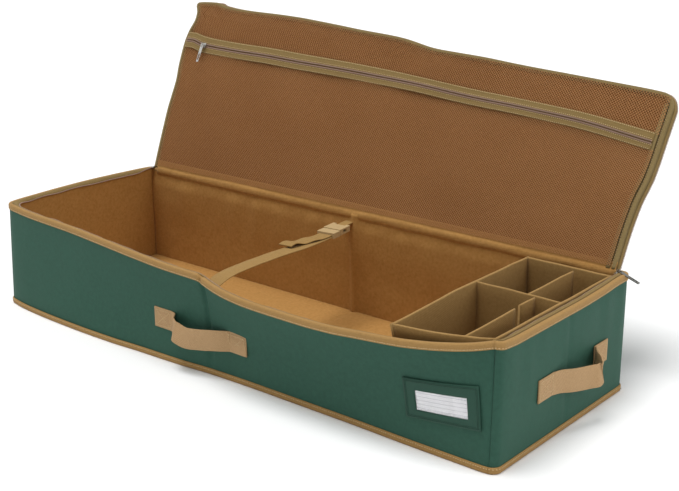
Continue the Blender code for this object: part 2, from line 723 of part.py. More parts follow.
def make_label_holder():
    """A sewn holder that is open at the top, a clear window in it and a card behind the window."""
    wall = empty("label_wall", (LABEL_X, -HALF_Y - GAP, LABEL_Z))
    half = LABEL_WIDE / 2
    tall = LABEL_TALL / 2
    holder = block("label_holder", (-half, half), (-LABEL_HOLDER, 0), (-tall, tall), VINYL_GREEN, wall)
    card_half = CARD_WIDE / 2
    card_low = -CARD_TALL / 2 - CARD_RAISE
    back = -LABEL_HOLDER + LABEL_LIP
    pocket_half = card_half + CARD_CLEAR
    pocket_low = card_low - CARD_CLEAR
    pocket = block(
        "label_pocket", (-pocket_half, pocket_half), (back, OVERRUN), (pocket_low, tall + OVERRUN), VINYL_GREEN, wall
    )
    combine(holder, pocket, "DIFFERENCE")
    window_half = WINDOW_WIDE / 2
    middle = card_low + CARD_TALL / 2
    sight = (middle - WINDOW_TALL / 2, middle + WINDOW_TALL / 2)
    opening = block("label_sight", (-window_half, window_half), (-LABEL_HOLDER - OVERRUN, OVERRUN), sight, CLEAR, wall)
    combine(holder, opening, "DIFFERENCE")
    film_half = window_half + FILM_MARGIN
    film_tall = (sight[0] - FILM_MARGIN, sight[1] + FILM_MARGIN)
    film_front = back + GAP
    block("label_window", (-film_half, film_half), (film_front, film_front + WINDOW_FILM), film_tall, CLEAR, wall)
    block("label_card", (-card_half, card_half), (-CARD, 0), (card_low, card_low + CARD_TALL), CARD_WHITE, wall)


def lean(piece, near_buckle):
    """Lays webbing along the strap's slanting line: square to the line near the buckle, and cut along the
    walls elsewhere. Before, it runs along Y with its middle at zero."""
    turn = Matrix.Rotation(STRAP_TURN, 4, "Z")
    for vert in piece.data.vertices:
        if near_buckle(vert.co.y):
            place = turn @ Vector((vert.co.x, vert.co.y - BUCKLE_MOUTH_Y, 0))
            vert.co.x = BUCKLE_X + place.x
            vert.co.y = BUCKLE_MOUTH_Y + place.y
        else:
            vert.co.x += STRAP_FRONT_X + STRAP_SLOPE * (vert.co.y + INNER_Y)


def make_strap_front():
    half = STRAP / 2
    front = -INNER_Y + GAP
    end = BUCKLE_MOUTH_Y - BUCKLE_CLEAR - BUCKLE_CLEAR
    profile = [(front, STRAP_LEVEL - STRAP_TAB), (front + STRAP, STRAP_LEVEL - STRAP_TAB)]
    profile += [(front + STRAP, STRAP_LEVEL - half), (end, STRAP_LEVEL - half)]
    profile += [(end, STRAP_LEVEL + half), (front, STRAP_LEVEL + half)]
    side = STRAP_WIDE / 2
    lean(prism("strap_front", profile, -side, side, "X", WEBBING_TAN), lambda y: y > 0)


def make_strap_rear():
    """The rear strap folds round the socket's bar and is sewn to the back wall."""
    back = INNER_Y - GAP
    bar_back = BUCKLE_MOUTH_Y + SOCKET_LONG
    slot = bar_back - SOCKET_BAR_LONG - BUCKLE_CLEAR
    rise = SOCKET_BAR / 2 + BUCKLE_CLEAR
    top = BUCKLE_Z + rise
    under = BUCKLE_Z - rise
    fold = bar_back + STRAP_FOLD
    foot = top - STRAP_TAB
    profile = [(back, foot), (back, top + STRAP), (slot - STRAP, top + STRAP), (slot - STRAP, under - STRAP)]
    profile += [(fold, under - STRAP), (fold, under), (slot, under), (slot, top), (back - STRAP, top)]
    profile.append((back - STRAP, foot))
    side = REAR_STRAP_WIDE / 2
    lean(prism("strap_rear", profile, -side, side, "X", WEBBING_TAN), lambda y: y < fold + STRAP)


def make_buckle_socket(guide):
    """A hollow half with side windows, and a thin bar that the rear strap folds round."""
    half = BUCKLE_WIDE / 2
    tall = SOCKET_TALL / 2
    outline = rounded_rectangle(-half, half, 0, SOCKET_LONG, BUCKLE_ROUND, EDGE_STEPS)
    socket = prism("buckle_socket", outline, -tall, tall, "Z", BUCKLE_TAN, guide)
    inner = half - SOCKET_SIDE
    clear = PRONG / 2 + BUCKLE_CLEAR
    cavity = block("socket_cavity", (-inner, inner), (-OVERRUN, SOCKET_CAVITY_LONG), (-clear, clear), CLEAR, guide)
    combine(socket, cavity, "DIFFERENCE")
    windows = (SOCKET_WINDOW_START, SOCKET_WINDOW_END)
    across = (-half - OVERRUN, half + OVERRUN)
    combine(socket, block("socket_windows", across, windows, (-clear, clear), CLEAR, guide), "DIFFERENCE")
    slot = REAR_STRAP_WIDE / 2 + SOCKET_SIDE / 2
    bar_front = SOCKET_LONG - SOCKET_BAR_LONG
    slot_front = bar_front - STRAP - BUCKLE_CLEAR * 2
    outline = rectangle(-slot, slot, slot_front, bar_front)
    combine(socket, prism("socket_slot", outline, -SOCKET_TALL, SOCKET_TALL, "Z", CLEAR, guide), "DIFFERENCE")
    bar = SOCKET_BAR / 2
    behind = (slot_front, SOCKET_LONG + OVERRUN)
    for side, low, high in (("above", bar, SOCKET_TALL), ("below", -SOCKET_TALL, -bar)):
        notch = block("socket_notch_" + side, (-slot, slot), behind, (low, high), CLEAR, guide)
        combine(socket, notch, "DIFFERENCE")


def make_buckle_plug(guide):
    """The plug slides along the front strap, which runs through its foot; its prongs enter the socket."""
    half = BUCKLE_WIDE / 2
    mouth = -BUCKLE_CLEAR
    outline = rounded_rectangle(-half, half, mouth - PLUG_LONG, mouth, BUCKLE_ROUND, EDGE_STEPS)
    plug = prism("buckle_plug", outline, -PLUG_FOOT, PLUG_TOP, "Z", BUCKLE_TAN, guide)
    outer = half - SOCKET_SIDE - BUCKLE_CLEAR
    inner = outer - PRONG_WIDE
    tongue = TONGUE_WIDE / 2
    root = mouth - PLUG_LONG / 2
    shoulder = PRONG_LONG * PRONG_SHOULDER_SHARE
    right = [(outer, root), (outer, shoulder), (outer - PRONG_WIDE / 2, PRONG_LONG), (inner, PRONG_LONG)]
    right += [(inner, 0), (tongue, 0), (tongue, TONGUE_LONG)]
    outline = right + [(-a, b) for a, b in reversed(right)]
    prongs = prism("plug_prongs", outline, -PRONG / 2, PRONG / 2, "Z", BUCKLE_TAN, guide)
    combine(plug, prongs, "UNION")
    level = STRAP_LEVEL - BUCKLE_Z
    side = STRAP_WIDE / 2 + BUCKLE_CLEAR
    tall = (level - STRAP / 2 - BUCKLE_CLEAR, level + STRAP / 2 + BUCKLE_CLEAR)
    through = (mouth - PLUG_LONG - OVERRUN, mouth + OVERRUN)
    combine(plug, block("plug_tunnel", (-side, side), through, tall, CLEAR, guide), "DIFFERENCE")
    side = STRAP_WIDE / 2
    start = mouth - PLUG_LONG - GAP
    tail = (start - TAIL_LONG, start)
    block("strap_tail", (-side, side), tail, (TAIL_LEVEL - STRAP / 2, TAIL_LEVEL + STRAP / 2), WEBBING_TAN, guide)


def make_buckle():
    place = (BUCKLE_X, BUCKLE_MOUTH_Y, BUCKLE_Z)
    guide = empty("buckle_guide", place, (0, 0, STRAP_TURN))
    make_buckle_socket(guide)
    make_buckle_plug(guide)


def make_tray():
    """An open tray with a wall across it; the dividers swing at their sewn ends."""
    floor = FLOOR + GAP
    tray = empty("tray_guide", (0, 0, floor))
    tall = TRAY_TOP - floor
    outline = rounded_rectangle(TRAY_LEFT, TRAY_RIGHT, TRAY_FRONT, TRAY_BACK, TRAY_CORNER, CORNER_STEPS)
    shell = prism("ribbon_tray", outline, 0, tall, "Z", LINING_TAN, tray)
    x_low = TRAY_LEFT + TRAY_WALL
    x_high = TRAY_RIGHT - TRAY_WALL
    y_low = TRAY_FRONT + TRAY_WALL
    y_high = TRAY_BACK - TRAY_WALL
    radius = TRAY_CORNER - TRAY_WALL
    outline = rounded_rectangle(x_low, x_high, y_low, y_high, radius, CORNER_STEPS)
    hollow = prism("tray_hollow", outline, TRAY_FLOOR, tall + OVERRUN, "Z", CLEAR, tray)
    combine(shell, hollow, "DIFFERENCE")
    cross = (CROSS_Y - CROSS_WALL / 2, CROSS_Y + CROSS_WALL / 2)
    top = tall - DIVIDER_DROP
    foot = TRAY_FLOOR + GAP
    block("tray_cross_wall", (x_low + GAP, x_high - GAP), cross, (foot, top), LINING_TAN, tray)
    half = DIVIDER / 2
    bottom = foot + DIVIDER_LIFT
    seats = (
        ("divider_front", TRAY_RIGHT - FRONT_DIVIDER_INSET, y_low + GAP + half, 1, FRONT_DIVIDER_LONG),
        ("divider_middle", TRAY_RIGHT - FRONT_DIVIDER_INSET, cross[0] - GAP - half, -1, MIDDLE_DIVIDER_LONG),
        ("divider_rear", TRAY_RIGHT - REAR_DIVIDER_INSET, cross[1] + GAP + half, 1, REAR_DIVIDER_LONG),
    )
    for name, x, y, way, long in seats:
        axis = empty(name + "_axis", (x, y, bottom), (0, 0, 0 if way > 0 else math.pi), tray)
        outline = arc(0, 0, half, 180, 360, EDGE_STEPS * 2) + arc(0, long - half, half, 0, 180, EDGE_STEPS * 2)
        prism(name, outline, 0, top - bottom, "Z", LINING_TAN, axis)


def main():
    for piece in list(bpy.data.objects):
        bpy.data.objects.remove(piece, do_unlink=True)
    make_outer_fabric()
    make_boards()
    make_linings()
    make_bindings()
    make_box_zip()
    make_hinge_strip()
    lid = empty("lid_hinge", (0, HINGE_Y, HINGE_Z), (-LID_OPEN_ANGLE, 0, 0))
    make_lid_layers(lid)
    make_lid_edge(lid)
    make_pocket(lid)
    make_zip_hardware(lid)
    make_handles()
    make_label_holder()
    make_strap_front()
    make_strap_rear()
    make_buckle()
    make_tray()


main()
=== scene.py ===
# %% [markdown]
# # Gift wrap organizer
# A long soft box of green polyester with its lid held up behind it. This lesson dresses the plain model of it.
# The model is loaded as a fixed frame, so every piece made here goes where the frame says, in metres, with X along
# the box, Y towards its back and Z up.

# %% Load the frame and keep its size
import math

import bpy
import bmesh
from mathutils import Matrix, Vector, noise


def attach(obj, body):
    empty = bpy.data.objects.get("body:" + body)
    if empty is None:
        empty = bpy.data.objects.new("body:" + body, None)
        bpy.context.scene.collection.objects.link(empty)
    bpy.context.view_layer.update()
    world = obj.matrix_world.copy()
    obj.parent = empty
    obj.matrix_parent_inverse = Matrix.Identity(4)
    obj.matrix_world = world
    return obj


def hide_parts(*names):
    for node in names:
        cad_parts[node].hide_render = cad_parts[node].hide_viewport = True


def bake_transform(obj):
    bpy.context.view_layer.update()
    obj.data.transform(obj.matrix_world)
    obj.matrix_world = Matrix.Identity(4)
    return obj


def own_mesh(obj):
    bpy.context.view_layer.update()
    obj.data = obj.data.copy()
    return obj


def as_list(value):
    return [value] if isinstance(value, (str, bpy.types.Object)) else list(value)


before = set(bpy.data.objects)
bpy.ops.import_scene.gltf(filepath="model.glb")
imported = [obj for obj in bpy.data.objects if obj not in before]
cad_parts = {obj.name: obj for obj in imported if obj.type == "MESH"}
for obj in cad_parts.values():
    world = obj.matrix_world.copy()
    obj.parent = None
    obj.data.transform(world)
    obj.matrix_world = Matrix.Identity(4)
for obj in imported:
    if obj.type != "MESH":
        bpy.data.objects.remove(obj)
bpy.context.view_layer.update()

scene = bpy.context.scene

# %% [markdown]
# ## Camera
# The camera's place and turn were worked out from the box's corners. A camera in Blender looks down its own -Z, so its
# matrix is made of three directions: right, up and back.

# %% Camera
AZIMUTH, ELEVATION, ROLL = (math.radians(angle) for angle in (39.717, 17.739, -0.208))
EYE = (1.2707, -1.3982, 0.7708)
back = Vector((math.sin(AZIMUTH) * math.cos(ELEVATION), -math.cos(AZIMUTH) * math.cos(ELEVATION), math.sin(ELEVATION)))
level = Vector((math.cos(AZIMUTH), math.sin(AZIMUTH), 0))
upward = back.cross(level)
right = level * math.cos(ROLL) + upward * math.sin(ROLL)
above = upward * math.cos(ROLL) - level * math.sin(ROLL)
camera = bpy.data.objects.new("camera", bpy.data.cameras.new("camera"))
camera.data.lens = 64.39
camera.data.sensor_width = 36
camera.matrix_world = Matrix.Translation(EYE) @ Matrix((right, above, back)).transposed().to_4x4()
scene.collection.objects.link(camera)
scene.camera = camera
scene.view_settings.view_transform = "Standard"
print("camera at", EYE)

# %% [markdown]
# ## Colour and nodes
# Colours are written as hex values, as a painter's chart gives them, and one function turns them into the linear
# values that Blender mixes. Another small function adds a node, sets it up and links it, so that each material below
# reads as a list of its nodes.

# %% Helpers for materials
def shade(text):
    """The linear colour of a hex value such as 355045."""
    parts = [int(text[i:i + 2], 16) / 255 for i in (0, 2, 4)]
    return tuple(p / 12.92 if p <= 0.04045 else ((p + 0.055) / 1.055) ** 2.4 for p in parts) + (1.0,)


def add(tree, kind, settings=(), inputs=()):
    """Adds a node. Settings are its own properties, and inputs its sockets' values or what links to them."""
    made = tree.nodes.new("ShaderNode" + kind)
    for name, value in dict(settings).items():
        setattr(made, name, value)
    for name, value in dict(inputs).items():
        if isinstance(value, bpy.types.NodeSocket):
            tree.links.new(value, made.inputs[name])
        else:
            made.inputs[name].default_value = value
    return made


def blank(holder):
    """The empty node tree of a new material or world."""
    holder.use_nodes = True
    holder.node_tree.nodes.clear()
    return holder.node_tree


print("the middle grey 808080 is", round(shade("808080")[0], 3), "in linear light")


# %% [markdown]
# ## Light, floor and background
# The box stands in a white studio. A pale sky lights it from all round, a wide lamp overhead gives the narrow shadow
# round its foot, and a weak one from the right lights the end. Rays from the camera, and those that metal mirrors or
# that pass through clear vinyl, see plain white.

# %% World, lamps and floor
SKY = 0.41
scene.world = bpy.data.worlds.new("studio")
tree = blank(scene.world)
seen = add(tree, "LightPath")
white_for = seen.outputs["Is Camera Ray"]
for ray in ("Is Glossy Ray", "Is Transmission Ray"):
    white_for = add(tree, "Math", {"operation": "MAXIMUM"}, {0: white_for, 1: seen.outputs[ray]}).outputs[0]
sky = add(tree, "Background", inputs={"Color": (1, 1, 1, 1), "Strength": SKY})
white = add(tree, "Background", inputs={"Color": (1, 1, 1, 1), "Strength": 1.0})
either = add(tree, "MixShader", inputs={0: white_for, 1: sky.outputs[0], 2: white.outputs[0]})
add(tree, "OutputWorld", inputs={"Surface": either.outputs[0]})


def soft_lamp(name, energy, spread, towards):
    """A sun lamp as wide as a studio's soft box, shining from the given direction."""
    lamp = bpy.data.objects.new(name, bpy.data.lights.new(name, "SUN"))
    lamp.data.energy = energy
    lamp.data.angle = math.radians(spread)
    lamp.rotation_euler = Vector(towards).to_track_quat("Z", "Y").to_euler()
    scene.collection.objects.link(lamp)
    return lamp


overhead = soft_lamp("overhead_lamp", 2.3, 30, (-0.14, -0.12, 1.0))
fill = soft_lamp("fill_lamp", 0.75, 44, (0.85, 0.30, 0.5))
floor_finish = bpy.data.materials.new("painted_studio_floor")
tree = blank(floor_finish)
painted = add(tree, "BsdfDiffuse", inputs={"Color": shade("FBFBFB")})
add(tree, "OutputMaterial", inputs={"Surface": painted.outputs[0]})
FLOOR_REACH = 9.0
floor_mesh = bpy.data.meshes.new("floor")
floor_corners = [(x * FLOOR_REACH, y * FLOOR_REACH, 0) for x, y in ((-1, -1), (1, -1), (1, 1), (-1, 1))]
floor_mesh.from_pydata(floor_corners, [], [(0, 1, 2, 3)])
floor_mesh.materials.append(floor_finish)
floor = bpy.data.objects.new("floor", floor_mesh)
scene.collection.objects.link(floor)
print("floor", 2 * FLOOR_REACH, "m wide, sky", SKY, "lamps", overhead.data.energy, fill.data.energy)

# %% [markdown]
# ## Making cloth, bands and stitches
# Almost everything here is a thin sheet or a narrow band that was cut, folded and sewn. A sheet is a grid of points
# with a little thickness, and its UV map holds real metres, so a weave keeps its true size on any piece. A band is a
# profile carried along a path. A seam is a row of short rounded stitches.

# %% Places and directions
UP = Vector((0, 0, 1))


def steps(low, high, count):
    """Count + 1 even steps from low to high."""
    return [low + (high - low) * i / count for i in range(count + 1)]


def smooth(low, high, x):
    """0 below low, 1 above high and a soft step between."""
    t = min(1, max(0, (x - low) / (high - low)))
    return t * t * (3 - 2 * t)


def ridge(x, width=0.006):
    """1 at 0, and nothing a few widths away from it."""
    return math.exp(-(x / width) ** 2)


def wander(*spot):
    """Noise from -1 to 1 that changes slowly from place to place."""
    return noise.noise(Vector(spot))


def curve_through(knots):
    """A smooth function through (place, value) knots, level beyond them and never past a knot's own value."""
    places, values = zip(*knots)
    slopes = [(values[i + 1] - values[i]) / (places[i + 1] - places[i]) for i in range(len(knots) - 1)]
    turns = [slopes[0]] + [0 if a * b <= 0 else 2 * a * b / (a + b) for a, b in zip(slopes, slopes[1:])] + [slopes[-1]]

    def value(x):
        if x <= places[0]:
            return values[0]
        if x >= places[-1]:
            return values[-1]
        i = max(j for j in range(len(places) - 1) if places[j] <= x)
        width = places[i + 1] - places[i]
        t = (x - places[i]) / width
        return ((1 + 2 * t) * (1 - t) ** 2 * values[i] + t * (1 - t) ** 2 * width * turns[i]
                + t * t * (3 - 2 * t) * values[i + 1] + t * t * (t - 1) * width * turns[i + 1])

    return value


def distances(path):
    """How far along a path each of its points lies."""
    run = [0.0]
    for p, q in zip(path, path[1:]):
        run.append(run[-1] + math.dist(p, q))
    return run


def directions(path):
    """The direction of a path at each of its points."""
    last = len(path) - 1
    return [(path[min(i + 1, last)] - path[max(i - 1, 0)]).normalized() for i in range(last + 1)]


def marks_along(path, gap):
    """Points every gap metres along a path, each with the path's direction."""
    marks = []
    left = gap / 2
    for a, b in zip(path, path[1:]):
        span = (b - a).length
        while left <= span:
            marks.append((a.lerp(b, left / span), (b - a).normalized()))
            left += gap
        left -= span
    return marks


print("a quarter of the way up a soft step:", smooth(0, 1, 0.25))


# %% Meshes of sheets, bands and rows of stitches
def mesh_of(form, outward=True):
    """The form as mesh data, with its faces turned outward if asked."""
    if outward:
        bmesh.ops.recalc_face_normals(form, faces=form.faces)
    mesh = bpy.data.meshes.new("draft")
    form.to_mesh(mesh)
    form.free()
    return mesh


def thickened(mesh, thick, offset=-1.0):
    """The mesh with a Solidify modifier baked into it."""
    draft = bpy.data.objects.new("draft", mesh)
    scene.collection.objects.link(draft)
    layer = draft.modifiers.new("thickness", "SOLIDIFY")
    layer.thickness = thick
    layer.offset = offset
    layer.use_even_offset = False
    made = bpy.data.meshes.new_from_object(draft.evaluated_get(bpy.context.evaluated_depsgraph_get()))
    bpy.data.objects.remove(draft)
    bpy.data.meshes.remove(mesh)
    return made


def cloth_mesh(place, across, along, thick, offset=-1.0):
    """A thick grid of the points place(a, b), with a UV map in metres."""
    form = bmesh.new()
    flat = form.loops.layers.uv.new("UVMap")
    rows = [[form.verts.new(place(a, b)) for a in across] for b in along]
    for j in range(len(along) - 1):
        for i in range(len(across) - 1):
            corners = ((i, j), (i + 1, j), (i + 1, j + 1), (i, j + 1))
            face = form.faces.new([rows[q][p] for p, q in corners])
            for loop, (p, q) in zip(face.loops, corners):
                loop[flat].uv = (across[p], along[q])
    return thickened(mesh_of(form, False), thick, offset)


def band_mesh(path, sides, ups, profile):
    """A closed profile of (side, up) points carried along a path. UVs run along it and round it."""
    form = bmesh.new()
    flat = form.loops.layers.uv.new("UVMap")
    rings = [[form.verts.new(p + s * a + u * b) for a, b in profile] for p, s, u in zip(path, sides, ups)]
    run, girth = distances(path), distances(profile + profile[:1])
    for i in range(len(path) - 1):
        for k in range(len(profile)):
            m = (k + 1) % len(profile)
            face = form.faces.new((rings[i][k], rings[i + 1][k], rings[i + 1][m], rings[i][m]))
            for loop, (p, q) in zip(face.loops, ((i, k), (i + 1, k), (i + 1, k + 1), (i, k + 1))):
                loop[flat].uv = (run[p], girth[q])
    form.faces.new(rings[0][::-1])
    form.faces.new(rings[-1])
    return mesh_of(form)


def soft_rectangle(wide, thick, rounding=0.5):
    """The profile of a band, wide by thick, with four points round each corner."""
    radius = thick * rounding
    x, y = wide / 2 - radius, thick / 2 - radius
    return [(cx + radius * math.cos(math.radians(turn)), cy + radius * math.sin(math.radians(turn)))
            for cx, cy, start in ((x, y, 0), (-x, y, 90), (-x, -y, 180), (x, -y, 270))
            for turn in steps(start, start + 90, 3)]


def beads_mesh(rows, length, gap, wide, tall):
    """Rows of small rounded beads, for stitches and zip teeth. A row is (path, the direction that faces out)."""
    form = bmesh.new()
    for path, out in rows:
        for middle, ahead in marks_along(path, gap):
            side = ahead.cross(out).normalized()
            lift = side.cross(ahead).normalized()
            ends = [form.verts.new(middle + ahead * (length / 2 * way)) for way in (-1, 1)]
            rings = [[form.verts.new(middle + ahead * (length * 0.3 * way) + side * (wide / 2 * a)
                                     + lift * (tall / 2 * b))
                      for a, b in ((1, 0), (0, 1), (-1, 0), (0, -1))] for way in (-1, 1)]
            for k in range(4):
                m = (k + 1) % 4
                form.faces.new((rings[0][k], rings[1][k], rings[1][m], rings[0][m]))
                form.faces.new((ends[0], rings[0][k], rings[0][m]))
                form.faces.new((ends[1], rings[1][m], rings[1][k]))
    return mesh_of(form)


print("a band's soft rectangle has", len(soft_rectangle(0.030, 0.002)), "points")


# %% Pieces
def piece(name, mesh, finish, slot_name, node=None, body="box"):
    """Puts a mesh in the scene, on its body if it has one, and in place of the frame's node."""
    made = bpy.data.objects.new(name, mesh)
    scene.collection.objects.link(made)
    mesh.name = name
    mesh.materials.clear()
    mesh.materials.append(finish)
    for face in mesh.polygons:
        face.use_smooth = True
    if body:
        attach(made, body)
    if node:
        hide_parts(node)
    return made


def sheet(name, place, across, along, thick, finish, slot_name, node=None, body="box", offset=-1.0):
    """A piece of cloth or board whose points are place(a, b)."""
    return piece(name, cloth_mesh(place, across, along, thick, offset), finish, slot_name, node, body)


# %% [markdown]
# ## Fabric finishes
# Woven cloth shows two things: the small bumps where threads cross, and broad soft creases where it was folded or
# pulled. The product of two sine waves along the UV map's two directions rises and falls like a plain weave, and two
# sizes of noise in the piece's own space give the creases. One function makes any cloth from its own thread pitch and
# colours.

# %% Woven cloth
MM = 0.001


def weave(tree, pitches):
    """A socket from -1 to 1 that rises and falls as a plain weave does. Pitches are in millimetres."""
    flat = add(tree, "UVMap", {"uv_map": "UVMap"})
    apart = add(tree, "SeparateXYZ", inputs={0: flat.outputs[0]})
    waves = []
    for axis, pitch in enumerate(pitches):
        turns = add(tree, "Math", {"operation": "MULTIPLY"}, {0: apart.outputs[axis], 1: math.pi / (pitch * MM)})
        waves.append(add(tree, "Math", {"operation": "SINE"}, {0: turns.outputs[0]}).outputs[0])
    return add(tree, "Math", {"operation": "MULTIPLY"}, {0: waves[0], 1: waves[1]}).outputs[0]


def cloth_finish(name, dark, light, pitches, roughness, creases=(2.0, 0.03), thread_depth=0.25, sheen=0.05):
    """A woven cloth: its dark and light colours, thread pitches and depth in mm, and its creases' (mm deep, m wide)."""
    made = bpy.data.materials.new(name)
    tree = blank(made)
    threads = weave(tree, pitches)
    crease_depth, crease_size = creases
    spot = add(tree, "TexCoord").outputs["Object"]
    broad = add(tree, "TexNoise", inputs={"Vector": spot, "Scale": 1 / crease_size, "Detail": 3.0, "Roughness": 0.55})
    worn = add(tree, "TexNoise", inputs={"Vector": spot, "Scale": 14 / crease_size, "Detail": 4.0, "Roughness": 0.6})
    mottled = add(tree, "Math", {"operation": "MULTIPLY_ADD", "use_clamp": True}, {0: worn.outputs[0], 1: 1.6, 2: -0.3})
    cloudy = add(tree, "Mix", {"data_type": "RGBA"}, {0: mottled.outputs[0], 6: shade(dark), 7: shade(light)})
    lit_threads = add(tree, "Math", {"operation": "MULTIPLY_ADD"}, {0: threads, 1: 0.09, 2: 1.0})
    colour = add(tree, "VectorMath", {"operation": "SCALE"}, {0: cloudy.outputs[2], "Scale": lit_threads.outputs[0]})
    folds = add(tree, "Bump", inputs={"Strength": 0.35, "Distance": crease_depth * MM, "Height": broad.outputs[0]})
    relief = add(tree, "Bump", inputs={
        "Strength": 0.5, "Distance": thread_depth * MM, "Height": threads, "Normal": folds.outputs[0]})
    rough = add(tree, "Math", {"operation": "MULTIPLY_ADD"}, {0: worn.outputs[0], 1: 0.16, 2: roughness - 0.08})
    surface = add(tree, "BsdfPrincipled", inputs={
        "Base Color": colour.outputs[0], "Roughness": rough.outputs[0], "Sheen Weight": sheen, "Sheen Roughness": 0.45,
        "Specular IOR Level": 0.16, "Normal": relief.outputs[0]})
    add(tree, "OutputMaterial", inputs={"Surface": surface.outputs[0]})
    return made


# Polyester oxford cloth, coated behind: a close weave that looks smooth and a little waxy, with soft broad creases.
# Its real threads are 0.5 mm apart, drawn 1.2 mm apart so that they show.
GREEN_OXFORD = cloth_finish("polyester_oxford_green", "2A4E40", "355B4C", (1.2, 1.2), 0.62, (6.0, 0.09), sheen=0.0)
# Folded polyester tape: tighter ribs across it, 0.9 mm apart.
TAN_TAPE = cloth_finish("grosgrain_tape_tan", "967342", "AE8A55", (0.9, 1.8), 0.7)
# The lid's tape is the same, dyed towards olive.
OLIVE_TAPE = cloth_finish("grosgrain_tape_olive", "786640", "8F7B50", (0.9, 1.8), 0.7)
# Pressed non-woven lining: no threads to see, but a faint grid of bonding dots 1.5 mm apart.
BROWN_LINING = cloth_finish("bonded_lining_brown", "A1753A", "BC8E52", (1.5, 1.5), 0.75, (9.0, 0.07))
# The lid is lined with a thinner cloth of the same kind, drawn darker: partly its own tone, partly painted shade.
LID_LINING = cloth_finish("bonded_lid_lining_brown", "7C4F27", "966534", (1.5, 1.5), 0.75, (7.0, 0.07))
# The tray's boards are covered with one that is duller and flatter.
TRAY_CLOTH = cloth_finish("bonded_tray_cloth_tan", "927242", "AC8A56", (1.5, 1.5), 0.75, (5.0, 0.05))
# Polypropylene webbing: thick ribs, 1.6 mm apart along it and 2.2 mm across.
TAN_WEBBING = cloth_finish("polypropylene_webbing_tan", "A5835A", "C2A077", (1.6, 2.2), 0.66, thread_depth=0.5)
# The strap over the rolls is a thinner, browner webbing.
STRAP_WEBBING = cloth_finish("strap_webbing_olive_brown", "8B6C3A", "A58450", (1.4, 2.0), 0.66, thread_depth=0.4)
# Woven zip tape: a fine twill that takes less light than the binding.
ZIP_TAPE = cloth_finish("woven_zip_tape", "7C663C", "937B4D", (0.8, 0.8), 0.75, (1.0, 0.03))
# Knitted nylon net: thin soft thread.
NET_THREAD = cloth_finish("knitted_nylon_net", "B98350", "D09C68", (0.8, 0.8), 0.6, (0.2, 0.03))
# Sewing thread: spun polyester, paler than the tape it holds, and green on the label holder.
THREAD = cloth_finish("spun_polyester_thread", "CDB182", "DEC79E", (0.5, 0.5), 0.55, (0.1, 0.02))
GREEN_THREAD = cloth_finish("spun_polyester_thread_green", "1A342A", "264336", (0.5, 0.5), 0.5, (0.1, 0.02))
# Vinyl backed with cloth, as on the label holder: a fine pebbled grain and a low shine.
GREEN_VINYL = cloth_finish("embossed_vinyl_green", "26463A", "2F5243", (1.1, 1.3), 0.5, (1.0, 0.02), 0.2, 0.0)
print("materials so far:", len(bpy.data.materials))

# %% [markdown]
# ## Hard finishes
# The zip's teeth are drawn nylon, its sliders are plated zinc, the buckle is moulded acetal, the boards are grey
# chipboard, and the label has a white card behind clear vinyl.

# %% Nylon, zinc, acetal, card and clear vinyl
def plain_finish(name, dark, light, roughness, metallic=0.0, grain=0.004, depth=0.05, **more):
    """A moulded, plated or pressed surface: two near colours, a fine grain and a roughness that varies with it."""
    made = bpy.data.materials.new(name)
    tree = blank(made)
    spot = add(tree, "TexCoord").outputs["Object"]
    grains = add(tree, "TexNoise", inputs={"Vector": spot, "Scale": 1 / grain, "Detail": 4.0})
    colour = add(tree, "Mix", {"data_type": "RGBA"}, {0: grains.outputs[0], 6: shade(dark), 7: shade(light)})
    rough = add(tree, "Math", {"operation": "MULTIPLY_ADD"}, {0: grains.outputs[0], 1: 0.2, 2: roughness - 0.1})
    relief = add(tree, "Bump", inputs={"Strength": 0.3, "Distance": depth * MM, "Height": grains.outputs[0]})
    surface = add(tree, "BsdfPrincipled", inputs={
        "Base Color": colour.outputs[2], "Roughness": rough.outputs[0], "Metallic": metallic,
        "Normal": relief.outputs[0], **more})
    add(tree, "OutputMaterial", inputs={"Surface": surface.outputs[0]})
    return made


# Nylon takes a soft shine, and the coil's own turns give the rest.
NYLON_COIL = plain_finish("drawn_nylon_coil", "967A6A", "B39586", 0.55, grain=0.002)
# The main zip's pull is dull and dark, and the other sliders are bright.
PLATED_ZINC = plain_finish("plated_zinc_dark", "66655F", "807E78", 0.3, metallic=1.0, grain=0.003)
NICKEL_ZINC = plain_finish("nickel_plated_zinc", "B2B1AD", "CBCAC5", 0.28, metallic=1.0, grain=0.003)
# Moulded plastic has a smooth skin with a faint grain.
ACETAL = plain_finish("moulded_acetal_tan", "AE9468", "C2A97E", 0.42, grain=0.002)
# Chipboard is matt and speckled.
CHIPBOARD = plain_finish("pressed_chipboard", "7E7A70", "948F84", 0.85, grain=0.003, depth=0.2)
# Clear vinyl lets the card show through a low shine.
CLEAR_VINYL = plain_finish("clear_vinyl", "F4F4F2", "FFFFFF", 0.16,
                           **{"Transmission Weight": 0.9, "IOR": 1.52, "Alpha": 0.25})
# Grey lines are ruled across the white card, 6 mm apart and 0.6 mm wide.
CARD = plain_finish("pressed_card_white", "DEDDE1", "EAE9EC", 0.7, grain=0.001)
tree = CARD.node_tree
ruled = add(tree, "UVMap", {"uv_map": "UVMap"})
split = add(tree, "SeparateXYZ", inputs={0: ruled.outputs[0]})
row = add(tree, "Math", {"operation": "PINGPONG"}, {0: split.outputs[1], 1: 3 * MM})
inked = add(tree, "Math", {"operation": "LESS_THAN"}, {0: row.outputs[0], 1: 0.3 * MM})
shader = next(n for n in tree.nodes if n.type == "BSDF_PRINCIPLED")
paper = shader.inputs["Base Color"].links[0].from_socket
lined = add(tree, "Mix", {"data_type": "RGBA"}, {0: inked.outputs[0], 6: paper, 7: shade("A9AAB2")})
tree.links.new(lined.outputs[2], shader.inputs["Base Color"])
print("finishes:", sorted(m.name for m in bpy.data.materials))

